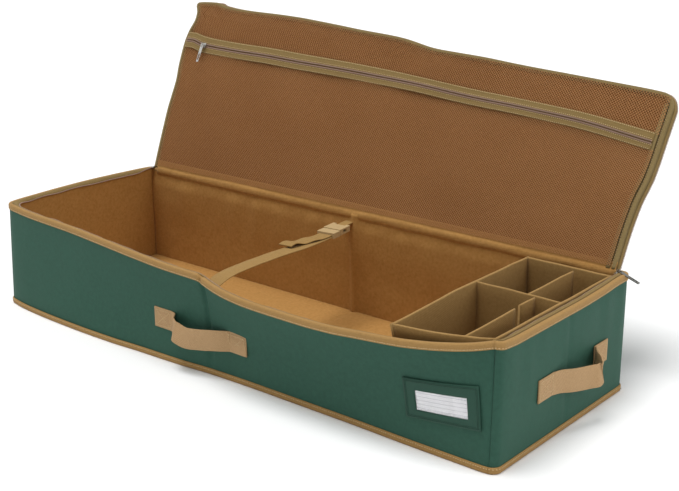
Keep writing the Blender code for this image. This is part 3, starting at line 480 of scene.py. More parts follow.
# %% [markdown]
# ## The shape of the slack walls
# The boards inside the walls are thin and the box is empty cloth above them, so the front bows outward and dips,
# most in its right half. Its foot bulges in the left half. These bows are written as knots along X, and every sheet,
# band and seam on the box passes through the same function, so they stay together.

# %% Bow of the front wall and of the rims
HEIGHT, END_X, FRONT_Y = 0.185, 0.520, -0.174
BULGE, DIP = 0.050, 0.038  # how far the front rim stands out and sinks where BOW is 1
BOW = curve_through([
    (-0.510, 0), (-0.444, 0.09), (-0.339, 0.16), (-0.246, 0.26), (-0.160, 0.36), (-0.080, 0.43), (-0.012, 0.45),
    (0.007, 0.52), (0.033, 0.62), (0.063, 0.70), (0.107, 0.76), (0.149, 0.775), (0.214, 0.78), (0.268, 0.75),
    (0.307, 0.69), (0.376, 0.58), (0.410, 0.49), (0.439, 0.39), (0.480, 0.20), (0.510, 0)])
FOOT = curve_through([
    (-0.520, 0.004), (-0.480, 0.012), (-0.453, 0.015), (-0.391, 0.019), (-0.298, 0.021), (-0.228, 0.020),
    (-0.165, 0.016), (-0.068, 0.012), (0.007, 0.006), (0.099, 0.004), (0.257, 0.004), (0.400, 0.006), (0.498, 0.006),
    (0.520, 0.003)])
RIGHT_RIM = curve_through([(FRONT_Y, 0), (-0.130, -0.003), (0.030, -0.003), (0.097, -0.001), (0.150, 0.002),
                           (-FRONT_Y, 0.002)])
LEFT_RIM = curve_through([(FRONT_Y, 0), (-0.130, 0.002), (0.0, 0.0045), (0.130, 0.002), (-FRONT_Y, 0)])


def slack(*spot):
    """Where a point of the straight box lies on the real, slack one."""
    p = Vector(spot)
    t = min(1.03, max(0, p.z / HEIGHT))
    near_front = smooth(-0.100, -0.165, p.y)
    out = FOOT(p.x) * max(0, 1 - t) ** 1.4 + BULGE * BOW(p.x) * t ** 2.0
    rise = RIGHT_RIM(p.y) * smooth(0.44, 0.515, p.x) + LEFT_RIM(p.y) * smooth(-0.44, -0.515, p.x)
    kink = ridge(p.x + 0.003, 0.0040) * t ** 3
    corner = 0.0024 * t ** 2 * ridge(math.hypot(p.x + END_X, p.y - FRONT_Y), 0.011)
    return Vector((p.x + corner, p.y + corner - near_front * (out - 0.0055 * kink),
                   p.z - near_front * (DIP * BOW(p.x) * t ** 3 + 0.0045 * kink) + rise * t ** 4))


def draw_in(made):
    """The lid pulls the slack front wall in when it shuts. Here the piece only gets its own copy of its mesh."""
    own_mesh(made)
    return made


print("front bows", round(1000 * BULGE * BOW(0.2)), "mm at most and its foot", round(1000 * FOOT(-0.298)), "mm")

# %% [markdown]
# ## Outer fabric
# Five panels of green oxford cloth are sewn into a box. The end panels wrap round the corners, and a seam runs up each
# corner. Each panel is a grid of points with a little thickness, bent by the function above, with faint pulls and
# dents from noise so that no face is truly flat.

# %% Outer fabric panels
CLOTH, CORNER, FRONT_END = 0.0009, 0.010, 0.5097
WALL_FOOT, WALL_TOP = 0.0012, 0.1836
OUTER = (CLOTH, GREEN_OXFORD, "outer_fabric")


def dents(p, size=0.11, depth=0.0022, seed=0.0):
    """A small smooth push, from 0 to depth metres, that varies from place to place."""
    return depth * (0.5 + 0.5 * wander(p.x / size + seed, p.y / size, p.z / size - seed))


def off_seams(a, z, seam=0.515, calm=0.490, top=0.160):
    """0 at a wall's seams and 1 inside it. The wall runs from -seam to seam."""
    return smooth(seam, calm, abs(a)) * smooth(0, 0.03, z) * smooth(HEIGHT, top, z)


def front_outside(x, z):
    p = slack(x, FRONT_Y, z)
    return p + Vector((0, 0.0034 * ridge(x + 0.002) * smooth(0.0, 0.05, z) - dents(p) * off_seams(x, z, top=0.165), 0))


def back_outside(x, z):
    p = Vector((x, -FRONT_Y, z))
    return p + Vector((0, dents(p, depth=0.0016) * off_seams(x, z) - 0.002 * ridge(x), 0))


heights = steps(WALL_FOOT, WALL_TOP, 36)
front_across = sorted(set(steps(-FRONT_END, FRONT_END, 150) + steps(-0.02, 0.02, 16)))
front_cloth = draw_in(sheet("front_cloth", front_outside, front_across, heights, *OUTER, "front_fabric"))
back_cloth = sheet("back_cloth", back_outside, front_across[::-1], heights, *OUTER, "back_fabric")


def end_cloth(name, way, node):
    """An end panel, from the front corner round to the back one."""
    quarter = steps(0, math.pi / 2, 6)
    x, y = END_X - CORNER, -FRONT_Y - CORNER
    route = [(way * (x + CORNER * math.sin(a)), -y - CORNER * math.cos(a)) for a in quarter]
    route += [(way * END_X, b) for b in steps(-y, y, 60)[1:-1]]
    route += [(way * (x + CORNER * math.cos(a)), y + CORNER * math.sin(a)) for a in quarter]
    route = route[::way]
    runs = distances(route)
    spot = dict(zip(runs, route))

    def outside(run, z):
        p = slack(*spot[run], z)
        y = spot[run][1]
        gathers = 0.0022 * (0.5 + 0.5 * wander(y * 42, z * 7, 2.2)) * smooth(0.05, 0.15, z)
        out = (dents(p, depth=0.0030) + gathers) * off_seams(y, z, 0.172, 0.150)
        out -= 0.002 * ridge(y) * smooth(0.0, 0.05, z)
        return p + Vector((way * out, 0, 0))

    return sheet(name, outside, runs, heights, *OUTER, node)


right_cloth = end_cloth("right_end_cloth", 1, "right_end_fabric")
left_cloth = end_cloth("left_end_cloth", -1, "left_end_fabric")


def front_lip(x, share):
    """From the base's straight front edge out to the bowed foot of the wall."""
    return Vector((x, FRONT_Y + 0.002, CLOTH)).lerp(slack(x, FRONT_Y, CLOTH), share)


base_cloth = sheet("base_cloth", lambda x, y: Vector((x, y, CLOTH)), steps(-0.5195, 0.5195, 80)[::-1],
                   steps(-0.1735, 0.1735, 30), *OUTER, "base_fabric")
base_lip = draw_in(sheet("base_front_lip", front_lip, steps(-0.515, 0.515, 120), [1, 0], *OUTER))
panels = (front_cloth, back_cloth, right_cloth, left_cloth, base_cloth)
print("outer fabric:", sum(len(panel.data.polygons) for panel in panels), "faces")

# %% [markdown]
# ## Lining
# The brown lining hangs inside the boards. The floor has a crease where the two base boards meet, and the walls
# crease at the middle of each side.

# %% Lining panels
INNER_X, INNER_Y, FLOOR_TOP = 0.5152, 0.1692, 0.0048
LINING = 0.0009
LINED = (LINING, BROWN_LINING, "lining")


def front_inside(x, z):
    p = slack(x, FRONT_Y, z) + Vector((0, -FRONT_Y - INNER_Y, 0))
    return p + Vector((0, -0.002 * ridge(x) + 1.5 * dents(p, seed=3.0) * smooth(HEIGHT, 0.16, z), 0))


def back_inside(x, z):
    p = Vector((x, INNER_Y, z))
    calm = smooth(0.174, 0.150, z)
    gathers = 0.0050 * (0.5 + 0.5 * wander(x * 42, 5.3, z * 4)) * smooth(0.06, 0.13, z) * calm
    return p + Vector((0, -0.0040 * ridge(x - 0.004, 0.007) - gathers - dents(p, seed=7.0) * calm, 0))


def end_inside(way):
    def inside(y, z):
        p = slack(way * END_X, y, z) + Vector((way * (INNER_X - END_X), 0, 0))
        return p + Vector((way * (0.002 * ridge(y) - abs(dents(p, seed=5.0))), 0, 0))
    return inside


def floor_lip(x, share):
    """From the floor's front edge out to the foot of the bowed lining."""
    return Vector((x, -INNER_Y + 0.004, FLOOR_TOP)).lerp(slack(x, FRONT_Y, 0.003) + Vector((0, 0.0046, 0)), share)


def floor_cloth(x, y):
    p = Vector((x, y, FLOOR_TOP))
    edge = smooth(0.515, 0.49, abs(x)) * smooth(0.169, 0.15, abs(y))
    return p + Vector((0, 0, -0.0012 * ridge(x, 0.005) - abs(dents(p, size=0.16, depth=0.001, seed=9.0)) * edge))


lining_across = [x * INNER_X / FRONT_END for x in front_across]
inner_across = steps(-INNER_Y - LINING, INNER_Y + LINING, 56)
front_lining = draw_in(sheet("front_lining_cloth", front_inside, lining_across[::-1], heights, *LINED, "front_lining",
                             offset=1.0))
back_lining = sheet("back_lining_cloth", back_inside, lining_across, heights, *LINED, "back_lining", offset=1.0)
floor_edge = draw_in(sheet("floor_front_edge", floor_lip, steps(-0.513, 0.513, 120), [0, 0.5, 1], 0.0006,
                           *LINED[1:]))
right_lining = sheet("right_lining_cloth", end_inside(1), inner_across[::-1], heights, *LINED, "right_lining",
                     offset=1.0)
left_lining = sheet("left_lining_cloth", end_inside(-1), inner_across, heights, *LINED, "left_lining", offset=1.0)
base_lining = sheet("base_lining_cloth", floor_cloth, lining_across, inner_across, LINING * 0.8, *LINED[1:],
                    "base_lining")
linings = (front_lining, back_lining, right_lining, left_lining, base_lining)
print("lining:", sum(len(p.data.polygons) for p in linings), "faces")

# %% [markdown]
# ## Boards
# Grey chipboard stiffens each panel in two halves, with room between them for the crease. They are hidden between
# cloth and lining, and follow the same bows.

# %% Boards in the walls and floor
BOARD = (0.0012, CHIPBOARD, "board")
FOLD = 0.008
board_heights = steps(0.004, 0.1780, 12)


def board(node, place, span, along=board_heights):
    return sheet(node + "_stiff", place, steps(*span, 40), along, *BOARD, node)


for half, span in {"left": (-0.509, -FOLD), "right": (FOLD, 0.509)}.items():
    draw_in(board("front_board_" + half, lambda x, z: slack(x, FRONT_Y, z) + Vector((0, 0.0022, 0)), span))
    board("back_board_" + half, lambda x, z: Vector((x, 0.1716, z)), span)
    board("base_board_" + half, lambda x, y: Vector((x, y, 0.0022)), span, steps(-0.166, 0.166, 8))
for half, span in {"front": (-0.160, -FOLD), "rear": (FOLD, 0.162)}.items():
    board("left_board_" + half, lambda y, z: slack(-END_X, y, z) + Vector((0.0024, 0, 0)), span)
    board("right_board_" + half, lambda y, z: slack(END_X, y, z) - Vector((0.0024, 0, 0)), span)
print("boards are", 1000 * BOARD[0], "mm thick, with", 2000 * FOLD, "mm between halves")

# %% [markdown]
# ## The lid's shape
# The lid stands open behind the box. Its cloth is held up by a thin board, so it twists: the left end leans back less
# than the right, its top edge waves, and its right end is pulled lower. One function gives a point of the lid from
# where it lies on the flat lid: across, up from the hinge, and out from its face. A cloth simulation would give
# likely waves, but knots read from the real lid give its own.

# %% Lid surface
HINGE_Y, HINGE_Z = 0.1760, 0.1878
TOP = curve_through([
    (-0.5375, 0.3375), (-0.528, 0.3435), (-0.505, 0.3468), (-0.4736, 0.3487), (-0.460, 0.3440), (-0.400, 0.3405),
    (-0.2689, 0.3385), (-0.1948, 0.3345), (-0.1209, 0.3290), (-0.0302, 0.3235), (0.060, 0.3095), (0.0973, 0.3078),
    (0.1559, 0.3055), (0.2054, 0.3025), (0.322, 0.2959), (0.4203, 0.2917), (0.4759, 0.2884), (0.4968, 0.2845),
    (0.5037, 0.2800)])
BAND = curve_through([(-0.5039, 0.2604), (-0.4717, 0.2533), (-0.3, 0.2490), (-0.0202, 0.2407), (0.1747, 0.2278),
                      (0.348, 0.2180), (0.492, 0.2000)])
LEFT_EDGE = curve_through([
    (0.0, -0.5125), (0.07, -0.5209), (0.122, -0.5255), (0.165, -0.5260), (0.2065, -0.5323), (0.250, -0.5352),
    (0.270, -0.5328), (0.2953, -0.5252), (0.305, -0.5258), (0.3277, -0.5372)])
RIGHT_EDGE = curve_through([(0.0, 0.5000), (0.067, 0.4985), (0.124, 0.5000), (0.197, 0.5058), (0.265, 0.5060)])
FLAT_BAND = 0.2533  # where the pocket's zip crosses the flat lid
LEAN, TWIST = 117, 6.5  # degrees back at the left end, and how many more at the right
LID_HALF, LID_DEPTH = 0.4960, 0.3260
LID_EDGE_X, LID_EDGE_U = 0.5006, 0.3306
LID_ROUND = {-1: 0.007, 1: 0.018}
LID_NORMAL = (0, math.sin(math.radians(LEAN)), math.cos(math.radians(LEAN)))
LID_OUT = Vector(LID_NORMAL)


def lid(x, u, n=0.0):
    """A point of the lid: x across and u up on the flat lid, n out of its inside face."""
    left, right_side = LEFT_EDGE(u), RIGHT_EDGE(u)
    x = (left + right_side) / 2 + x * (right_side - left) / (2 * LID_EDGE_X)
    up = BAND(x) * u / FLAT_BAND
    if u >= FLAT_BAND:
        up = BAND(x) + (TOP(x) - BAND(x)) * (u - FLAT_BAND) / (LID_EDGE_U - FLAT_BAND)
    lean = math.radians(LEAN + TWIST * (x + END_X) / (2 * END_X))
    out = n + 0.004 * wander(x * 9, u * 8, 2.7) * smooth(0.0, 0.1, u) * smooth(-0.46, -0.40, x)
    return Vector((x, HINGE_Y - up * math.cos(lean) - out * math.sin(lean),
                   HINGE_Z + up * math.sin(lean) - out * math.cos(lean)))


def pull_flat(cloth):
    """The lid's slack cloth is pulled flat when the lid shuts. Here the piece only gets its own copy of its mesh."""
    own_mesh(cloth)
    return cloth


def lid_piece(name, mesh, finish, slot_name, node=None):
    return pull_flat(piece(name, mesh, finish, slot_name, node, "lid"))


def inside_corners(x, u):
    """Pulls a point of the square lid in so that its top corners are round."""
    radius = LID_ROUND[1 if x > 0 else -1]
    over = max(0, abs(x) - (LID_HALF - radius)) / radius
    top = LID_DEPTH - radius * (1 - math.sqrt(max(0, 1 - min(1, over) ** 2)))
    return x, u * top / LID_DEPTH


def lid_sheet(name, level, across, thick, finish, slot_name, node):
    mesh = cloth_mesh(lambda x, u: lid(*inside_corners(x, u), level), across, steps(0.004, LID_DEPTH, 44), thick)
    return lid_piece(name, mesh, finish, slot_name, node)


lid_across = steps(-LID_HALF, LID_HALF, 120)
lid_cloth = lid_sheet("lid_cloth", -0.0015, lid_across[::-1], *OUTER, "lid_fabric")
lid_lining = lid_sheet("lid_lining_cloth", 0.0013, lid_across, LINING, LID_LINING, "lining", "lid_lining")
print("lid reaches", [round(TOP(x), 3) for x in (-0.5, 0, 0.5)], "m up from the hinge")

# %% [markdown]
# ## Rim and foot bindings
# A tan tape is folded over the rim and sewn through, and a flat piping covers the seam round the foot. Tape could be
# modelled as a flat strip and folded by a modifier. Here its folded section is drawn once and carried along the edge,
# which keeps the fold the same all round. The front stretch is its own piece.

# %% Bindings
RIM, FOOT_LEVEL = HEIGHT, 0.0006


def round_edge(level):
    """The ends and back of an edge: its path on the slack box, the directions out of it and those up it."""
    spots = []
    for sx, sy, start in ((1, -1, 270), (1, 1, 0), (-1, 1, 90), (-1, -1, 180)):
        for turn in steps(start, start + 90, 8):
            out = Vector((math.cos(math.radians(turn)), math.sin(math.radians(turn)), 0))
            spots.append((Vector((sx * (END_X - CORNER), sy * (-FRONT_Y - CORNER), 0)) + out * CORNER, out))
    route = []
    for (p, a), (q, b) in zip(spots, spots[1:]):
        parts = max(1, round((q - p).length / 0.012))
        route += [(p.lerp(q, i / parts), a.lerp(b, i / parts).normalized()) for i in range(parts)]
    route.append(spots[-1])
    return [slack(p.x, p.y, level) for p, out in route], [out for p, out in route], [UP] * len(route)


def front_edge(level):
    """The same for the front stretch of an edge, from left to right."""
    places = sorted(set(steps(-END_X + CORNER, END_X - CORNER, 130) + steps(-0.021, 0.015, 18)))
    path = [slack(x, FRONT_Y, level) for x in places]
    return path, [Vector((ahead.y, -ahead.x, 0)).normalized() for ahead in directions(path)], [UP] * len(path)


RIM_TAPE = [(0.0003, -0.0097), (0.0013, -0.0096), (0.0017, -0.007), (0.0018, -0.003), (0.0015, -0.0006),
            (0.0002, 0.0007), (-0.002, 0.0011), (-0.0042, 0.0008), (-0.0054, -0.0006), (-0.0058, -0.003),
            (-0.0056, -0.0080), (-0.0049, -0.0081), (-0.0047, -0.0016), (0.0001, -0.0016)]
FOOT_TAPE = [(0.0001, 0.0), (0.0012, 0.0001), (0.0019, 0.002), (0.0020, 0.005), (0.0016, 0.0088), (0.0010, 0.0095),
             (0.0001, 0.0094)]
for name, level, tape, node in (("rim_binding", RIM, RIM_TAPE, "top_binding"),
                                ("foot_binding", FOOT_LEVEL, FOOT_TAPE, "bottom_binding")):
    piece(name + "_ends_and_back", band_mesh(*round_edge(level), tape), TAN_TAPE, "binding", node)
    draw_in(piece(name + "_front", band_mesh(*front_edge(level), tape), TAN_TAPE, "binding"))
    print(name, "is", round(1000 * (max(up for out, up in tape) - min(up for out, up in tape)), 1), "mm deep")

# %% [markdown]
# ## The lid's edge, and the mesh pocket
# The lid's edge is bound with olive tape, and its half of the zip stands off it. Inside, a knitted net covers the
# whole lid in two parts, with a zip across between them. The net is real geometry: two sets of thin threads that
# cross, so that the lining shows through from any side. Real nets have holes of about 2 mm, drawn here 3.4 mm apart.

# %% Lid edge
def lid_edge(grow, level, low=-0.004):
    """A path round the lid's three free edges, grow metres outside its cloth, and the ways out and off the face."""
    half, top = LID_HALF + grow, LID_DEPTH + grow
    left, right = (max(0.001, LID_ROUND[way] + grow) for way in (-1, 1))
    quarter = steps(0, math.pi / 2, 8)[1:]
    flat = [(-half, u) for u in steps(low, top - left, 60)]
    flat += [(-half + left - left * math.cos(a), top - left + left * math.sin(a)) for a in quarter]
    flat += [(x, top) for x in steps(-half + left, half - right, 130)[1:]]
    flat += [(half - right + right * math.sin(a), top - right + right * math.cos(a)) for a in quarter]
    flat += [(half, u) for u in steps(low, top - right, 60)[-2::-1]]
    path = [lid(x, u, level) for x, u in flat]
    offs = [(lid(x, u, level + 0.01) - lid(x, u, level)).normalized() for x, u in flat]
    return path, [off.cross(ahead).normalized() for off, ahead in zip(offs, directions(path))], offs


LID_TAPE = [(0.0008, -0.0010), (0.0016, 0.0), (0.0016, 0.0014), (0.0006, 0.0030), (-0.0040, 0.0034), (-0.0072, 0.0030),
            (-0.0072, 0.0024), (-0.0020, 0.0020), (-0.0020, -0.0030), (-0.0072, -0.0030), (-0.0072, -0.0036),
            (-0.0020, -0.0040), (0.0006, -0.0034)]
ZIP_STRIP = [(0.0, -0.0006), (0.0018, -0.0088), (0.0026, -0.0086), (0.0008, 0.0002)]
for name, spot, profile, finish, slot_name, node in (
        ("lid_edge_binding", (0.0, 0.0), LID_TAPE, OLIVE_TAPE, "binding", "lid_binding"),
        ("lid_zip_tape_strip", (0.0012, -0.0005), ZIP_STRIP, ZIP_TAPE, "zip_tape", "lid_zip_tape"),
        ("pocket_border_tape", (-0.0012, 0.0046), soft_rectangle(0.0058, 0.0022), OLIVE_TAPE, "binding",
         "pocket_border")):
    lid_piece(name, band_mesh(*lid_edge(*spot), profile), finish, slot_name, node)
side_tape = cloth_mesh(lambda x, u: lid(x, u, 0.0056), [0.4830, 0.4850, 0.4872, 0.4895],
                       steps(-0.004, 0.3130, 70), 0.0009)
lid_piece("pocket_side_tape", side_tape, OLIVE_TAPE, "binding")
print("the lid's binding folds", round(-1000 * min(out for out, up in LID_TAPE), 1), "mm over its edge")

# %% Nets and their zip tapes
NET_PITCH, NET_WIDE, NET_TALL = 0.0034, 0.0010, 0.0006
NET_HALF, BAND_HALF = 0.4900, 0.0150


def net_mesh(low, high):
    """Threads both ways across the net's rectangle, each a thin three-sided strand."""
    form = bmesh.new()
    deep = high - low
    off = -LID_OUT
    for way in (1, -1):
        start = -NET_HALF - (deep if way > 0 else 0)
        for index in range(int((2 * NET_HALF + deep) / (NET_PITCH * math.sqrt(2))) + 1):
            x0 = start + index * NET_PITCH * math.sqrt(2)
            # The thread runs along x = x0 + way * (u - low), and is cut where it leaves the net.
            enters, leaves = sorted(way * (side - x0) for side in (-NET_HALF, NET_HALF))
            first, last = max(low, low + enters), min(high, low + leaves)
            if last - first < 0.002:
                continue
            line = [(x0 + way * (u - low), u) for u in steps(first, last, max(1, round((last - first) / 0.02)))]
            points = [lid(x, u, 0.0062 + 0.0035 * wander(x * 6, u * 9, 8.1) + 0.0002 * way) for x, u in line]
            rings = []
            for p, ahead in zip(points, directions(points)):
                side = ahead.cross(off).normalized()
                rings.append([form.verts.new(p + side * a * NET_WIDE / 2 + off * b * NET_TALL)
                              for a, b in ((1, 0), (0, 1), (-1, 0))])
            for r, q in zip(rings, rings[1:]):
                for k, m in ((0, 1), (1, 2), (2, 0)):
                    form.faces.new((r[k], q[k], q[m], r[m]))
    mesh = mesh_of(form)
    mesh.uv_layers.new(name="UVMap")
    return mesh


def ripple(x, level):
    """The height of the pocket's zip band off the lid, which ripples along it."""
    return level + 0.0006 * math.sin(x * 37)


lower_net, upper_net = (
    lid_piece("pocket_net_" + half, net_mesh(low, high), NET_THREAD, "net", "pocket_mesh_" + half)
    for half, low, high in (("lower", 0.001, FLAT_BAND - BAND_HALF + 0.002),
                            ("upper", FLAT_BAND + BAND_HALF - 0.002, LID_DEPTH - 0.003)))
for half, low, high in (("lower", -BAND_HALF, -0.0006), ("upper", 0.0006, BAND_HALF)):
    tape = cloth_mesh(lambda x, u: lid(x, u, ripple(x, 0.0075)), steps(-0.4915, 0.4850, 140),
                      steps(FLAT_BAND + low, FLAT_BAND + high, 4), 0.0008)
    lid_piece("pocket_zip_tape_" + half, tape, ZIP_TAPE, "zip_tape", "pocket_zip_" + half)
print("net faces", len(lower_net.data.polygons) + len(upper_net.data.polygons))

# %% [markdown]
# ## The cloth hinge
# The lid hangs on the box by cloth alone: green outside and brown inside, sewn to the top of the back wall and to the
# lid. These two strips bend when the lid moves. Bones could bend them; here they are left on neither body.

# %% Hinge strips
def hinge_strip(name, wall_line, lid_level, finish, slot_name, ends, node=None):
    """A strip from a line of (y, z) points on the wall to the lid's foot."""
    count = len(wall_line)

    def place(x, k):
        if k < count:
            gather = 0.0010 * wander(x * 26, 1.7, k * 0.5) * smooth(0.505, 0.48, abs(x))
            return Vector((x, wall_line[k][0] + gather, wall_line[k][1]))
        return lid(x, 0.002 + 0.005 * (k - count), lid_level)

    made = sheet(name, place, steps(*ends, 170), list(range(count + 3)), 0.0006, finish, slot_name, node, None)
    foot = lid(0, 0.008, lid_level)
    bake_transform(made)
    return made


hinge_outside = hinge_strip("hinge_cloth_outside", [(0.1762, 0.1720), (0.1768, 0.1790), (0.1776, 0.1850)], -0.0034,
                            GREEN_OXFORD, "outer_fabric", (-0.5000, 0.4960), "hinge_strip")
hinge_inside = hinge_strip("hinge_cloth_inside", [(0.1706, 0.1730), (0.1672, 0.1752), (0.1668, 0.1790),
                                                  (0.1668, 0.1840), (0.1700, 0.1880)], 0.0034,
                           BROWN_LINING, "lining", (-0.4985, 0.4985))
print("hinge strips:", len(hinge_outside.data.polygons) + len(hinge_inside.data.polygons), "faces")

# %% [markdown]
# ## Zips
# A coil zip is two rows of nylon teeth, each sewn to the edge of a woven tape. The teeth are a spiral of thread 1.9 mm
# apart. Here each turn is a small rounded bead across the tape, which looks the same and is lighter to draw.

# %% The box's half of the zip, and the lid's teeth
TOOTH = {"length": 0.0013, "gap": 0.0019, "wide": 0.0030, "tall": 0.0022}
COIL_X, COIL_Y, ZIP_LEVEL, COIL_ROUND = 0.5088, 0.1628, 0.1857, 0.0228
COIL_TURNS_IN = 0.6  # radians into the front corner where the tape starts to leave the rim's own curve


def coil_wave(p):
    """The slack tape sags and waves away from the slider, most on the left side."""
    left = smooth(-0.40, -0.48, p.x)
    right_part = 0.0016 * wander(p.x * 30, p.y * 30, 4.0) * smooth(0.13, 0.09, p.y)
    sag = left * (0.0050 * wander(1.0, p.y * 16, 4.0) - 0.0065) * smooth(0.165, 0.12, p.y)
    return right_part * (1 - left) + sag * smooth(-0.158, -0.120, p.y) - 0.0036 * smooth(-0.120, -0.158, p.y)


def zip_side(way):
    """Pairs of points, on the rim and on the coil, from the rear of one side round its front corner."""
    pairs = [(Vector((way * INNER_X, y, RIM)), Vector((way * COIL_X, y, ZIP_LEVEL)))
             for y in steps(0.1672, -COIL_Y + COIL_ROUND, 110)]
    for a in steps(0, math.pi / 2, 14)[1:]:
        turn = Vector((way * math.cos(a), -math.sin(a), 0))
        rim = Vector((way * (INNER_X - 0.006), -INNER_Y + 0.006, RIM)) + turn * 0.006
        coil = Vector((way * (COIL_X - COIL_ROUND), -COIL_Y + COIL_ROUND, ZIP_LEVEL)) + turn * COIL_ROUND
        if a > COIL_TURNS_IN:
            share = (a - COIL_TURNS_IN) / (math.pi / 2 - COIL_TURNS_IN)
            rim.x = way * (abs(rim.x) + (abs(coil.x) - abs(rim.x)) * share)
        pairs.append((rim, coil))
    return pairs


def zip_strip(name, pairs, node=None):
    """A tape between the rim and the coil, and the row of teeth on its edge."""
    lines = [(slack(*rim) + UP * 0.0006, slack(*coil) + UP * coil_wave(coil)) for rim, coil in pairs]
    tape = sheet(name, lambda k, j: lines[k][0].lerp(lines[k][1], j / 3) + UP * (0.0008 * math.sin(math.pi * j / 3)),
                 list(range(len(lines))), [0, 1, 2, 3], 0.0008, ZIP_TAPE, "zip_tape", node)
    teeth = beads_mesh([([coil for rim, coil in lines], UP)], **TOOTH)
    return tape, piece(name + "_teeth", teeth, NYLON_COIL, "zip_tape")


def across_lid(u, level):
    """A line across the lid on the pocket's zip band."""
    return [lid(x, u, ripple(x, level)) for x in steps(-0.4905, 0.4845, 200)]


zip_strip("zip_right_side", zip_side(1))
zip_strip("zip_left_side", zip_side(-1))
front_zip = COIL_X - COIL_ROUND
front_pairs = [(Vector((x, -INNER_Y, RIM)), Vector((x, -COIL_Y, ZIP_LEVEL)))
               for x in steps(-front_zip, front_zip, 150)]
for made in zip_strip("zip_front", front_pairs, "box_zip_tape"):
    draw_in(made)
lid_coil = [(lid_edge(0.0038, -0.0094)[0], LID_OUT)]
pocket_coils = [(across_lid(FLAT_BAND + off, 0.0082), LID_OUT) for off in (-0.0022, 0.0022)]
lid_teeth = lid_piece("lid_zip_teeth", beads_mesh(lid_coil, **TOOTH), NYLON_COIL, "zip_tape")
pocket_teeth = lid_piece("pocket_zip_teeth", beads_mesh(pocket_coils, **TOOTH), NYLON_COIL, "zip_tape")
clip_path = [Vector((-COIL_X, y, ZIP_LEVEL + 0.0004)) for y in steps(0.1640, 0.1690, 4)]
clip = band_mesh(clip_path, [Vector((1, 0, 0))] * 5, [UP] * 5, soft_rectangle(0.0056, 0.0040, 0.4))
piece("zip_end_clip", clip, PLATED_ZINC, "pull_metal")
print("teeth:", (len(lid_teeth.data.polygons) + len(pocket_teeth.data.polygons)) // 12)

# %% [markdown]
# ## Webbing handles
# Each handle is one strip of thick webbing. Its ends lie flat on the wall and are sewn down with a box and a cross.
# Between them the strip stands out in a slack loop and droops. The far end of the loop turns out sharply and the near
# end lies closer to the wall, as a handle does that has been pulled. The loop bends at its upper edge when it is
# lifted.

# %% Handles
WEBBING, TALL = 0.0020, 0.034
SEWN_OUT, SEAM_IN = 0.0022, 0.0035  # how far a patch stands off the wall, and its seam inside its edge


def wall_frame(kind):
    """The place of a point (along, out, up) on one wall, and the direction out of it."""
    if kind == "front":
        return lambda a, out, z: slack(a, FRONT_Y, z) + Vector((0, -out, 0)), Vector((0, -1, 0))
    way = 1 if kind == "right" else -1
    return lambda a, out, z: slack(way * END_X, a, z) + Vector((way * (out + 0.0018), 0, 0)), Vector((way, 0, 0))


def strip_along(points, thick, out, tilts=None):
    """A strip of webbing along points of its middle line, upright or with its top tilted to the wall."""
    sides, faces = [], []
    for ahead, tilt in zip(directions(points), tilts or [0.0] * len(points)):
        up = (UP - ahead * ahead.z).normalized()
        face = up.cross(ahead).normalized()
        if face.dot(out) < 0:
            face = -face
        out = face
        sides.append(up * math.cos(tilt) - face * math.sin(tilt))
        faces.append(face * math.cos(tilt) + up * math.sin(tilt))
    return band_mesh(points, sides, faces, soft_rectangle(TALL, thick, 0.45))


def boxed_rows(low, high, lines, place, out, count):
    """Straight rows of stitches between a box's corners, which are numbered round it from its low one."""
    (a, b), (c, d) = low, high
    corners = ((a, b), (c, b), (c, d), (a, d))
    rows = []
    for start, end in lines:
        (p, q), (r, s) = corners[start], corners[end]
        rows.append(([place(p + (r - p) * t, q + (s - q) * t) for t in steps(0, 1, count)], out))
    return rows


def handle(kind, patches, knots):
    """Two sewn patches, each (low, high, level), and the loop through knots of (along, out, up, tilt)."""
    place, out = wall_frame(kind)
    for side, (low, high, centre) in zip(("left", "right"), patches):
        line = [place(a, SEWN_OUT, centre) for a in steps(low, high, 14)]
        patch = piece(f"{kind}_handle_{side}_patch", strip_along(line, 0.0024, out), TAN_WEBBING, "webbing",
                      f"{kind}_handle_patch_{side}")
        rows = boxed_rows((low + SEAM_IN, centre - TALL / 2 + SEAM_IN), (high - SEAM_IN, centre + TALL / 2 - SEAM_IN),
                          ((0, 1), (1, 2), (2, 3), (3, 0), (0, 2), (3, 1)), lambda a, z: place(a, 0.0036, z), out, 8)
        stitches = beads_mesh(rows, 0.0026, 0.0036, 0.0009, 0.0008)
        seam = piece(f"{kind}_handle_{side}_seam", stitches, THREAD, "webbing")
        if kind == "front":
            draw_in(patch)
            draw_in(seam)
    along, off, height, tilt = (curve_through([(i, knot[j]) for i, knot in enumerate(knots)]) for j in range(4))
    shares = steps(0, len(knots) - 1, 110)
    line = [place(along(t), off(t), height(t)) for t in shares]
    loop = piece(f"{kind}_handle_strip", strip_along(line, WEBBING, out, [tilt(t) for t in shares]), TAN_WEBBING,
                 "webbing", f"{kind}_handle_loop", None)
    top = max(centre for low, high, centre in patches) + TALL / 2
    spot = place((patches[0][1] + patches[1][0]) / 2, SEWN_OUT, top)
    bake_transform(loop)
    print(loop.name, len(loop.data.polygons), "faces")


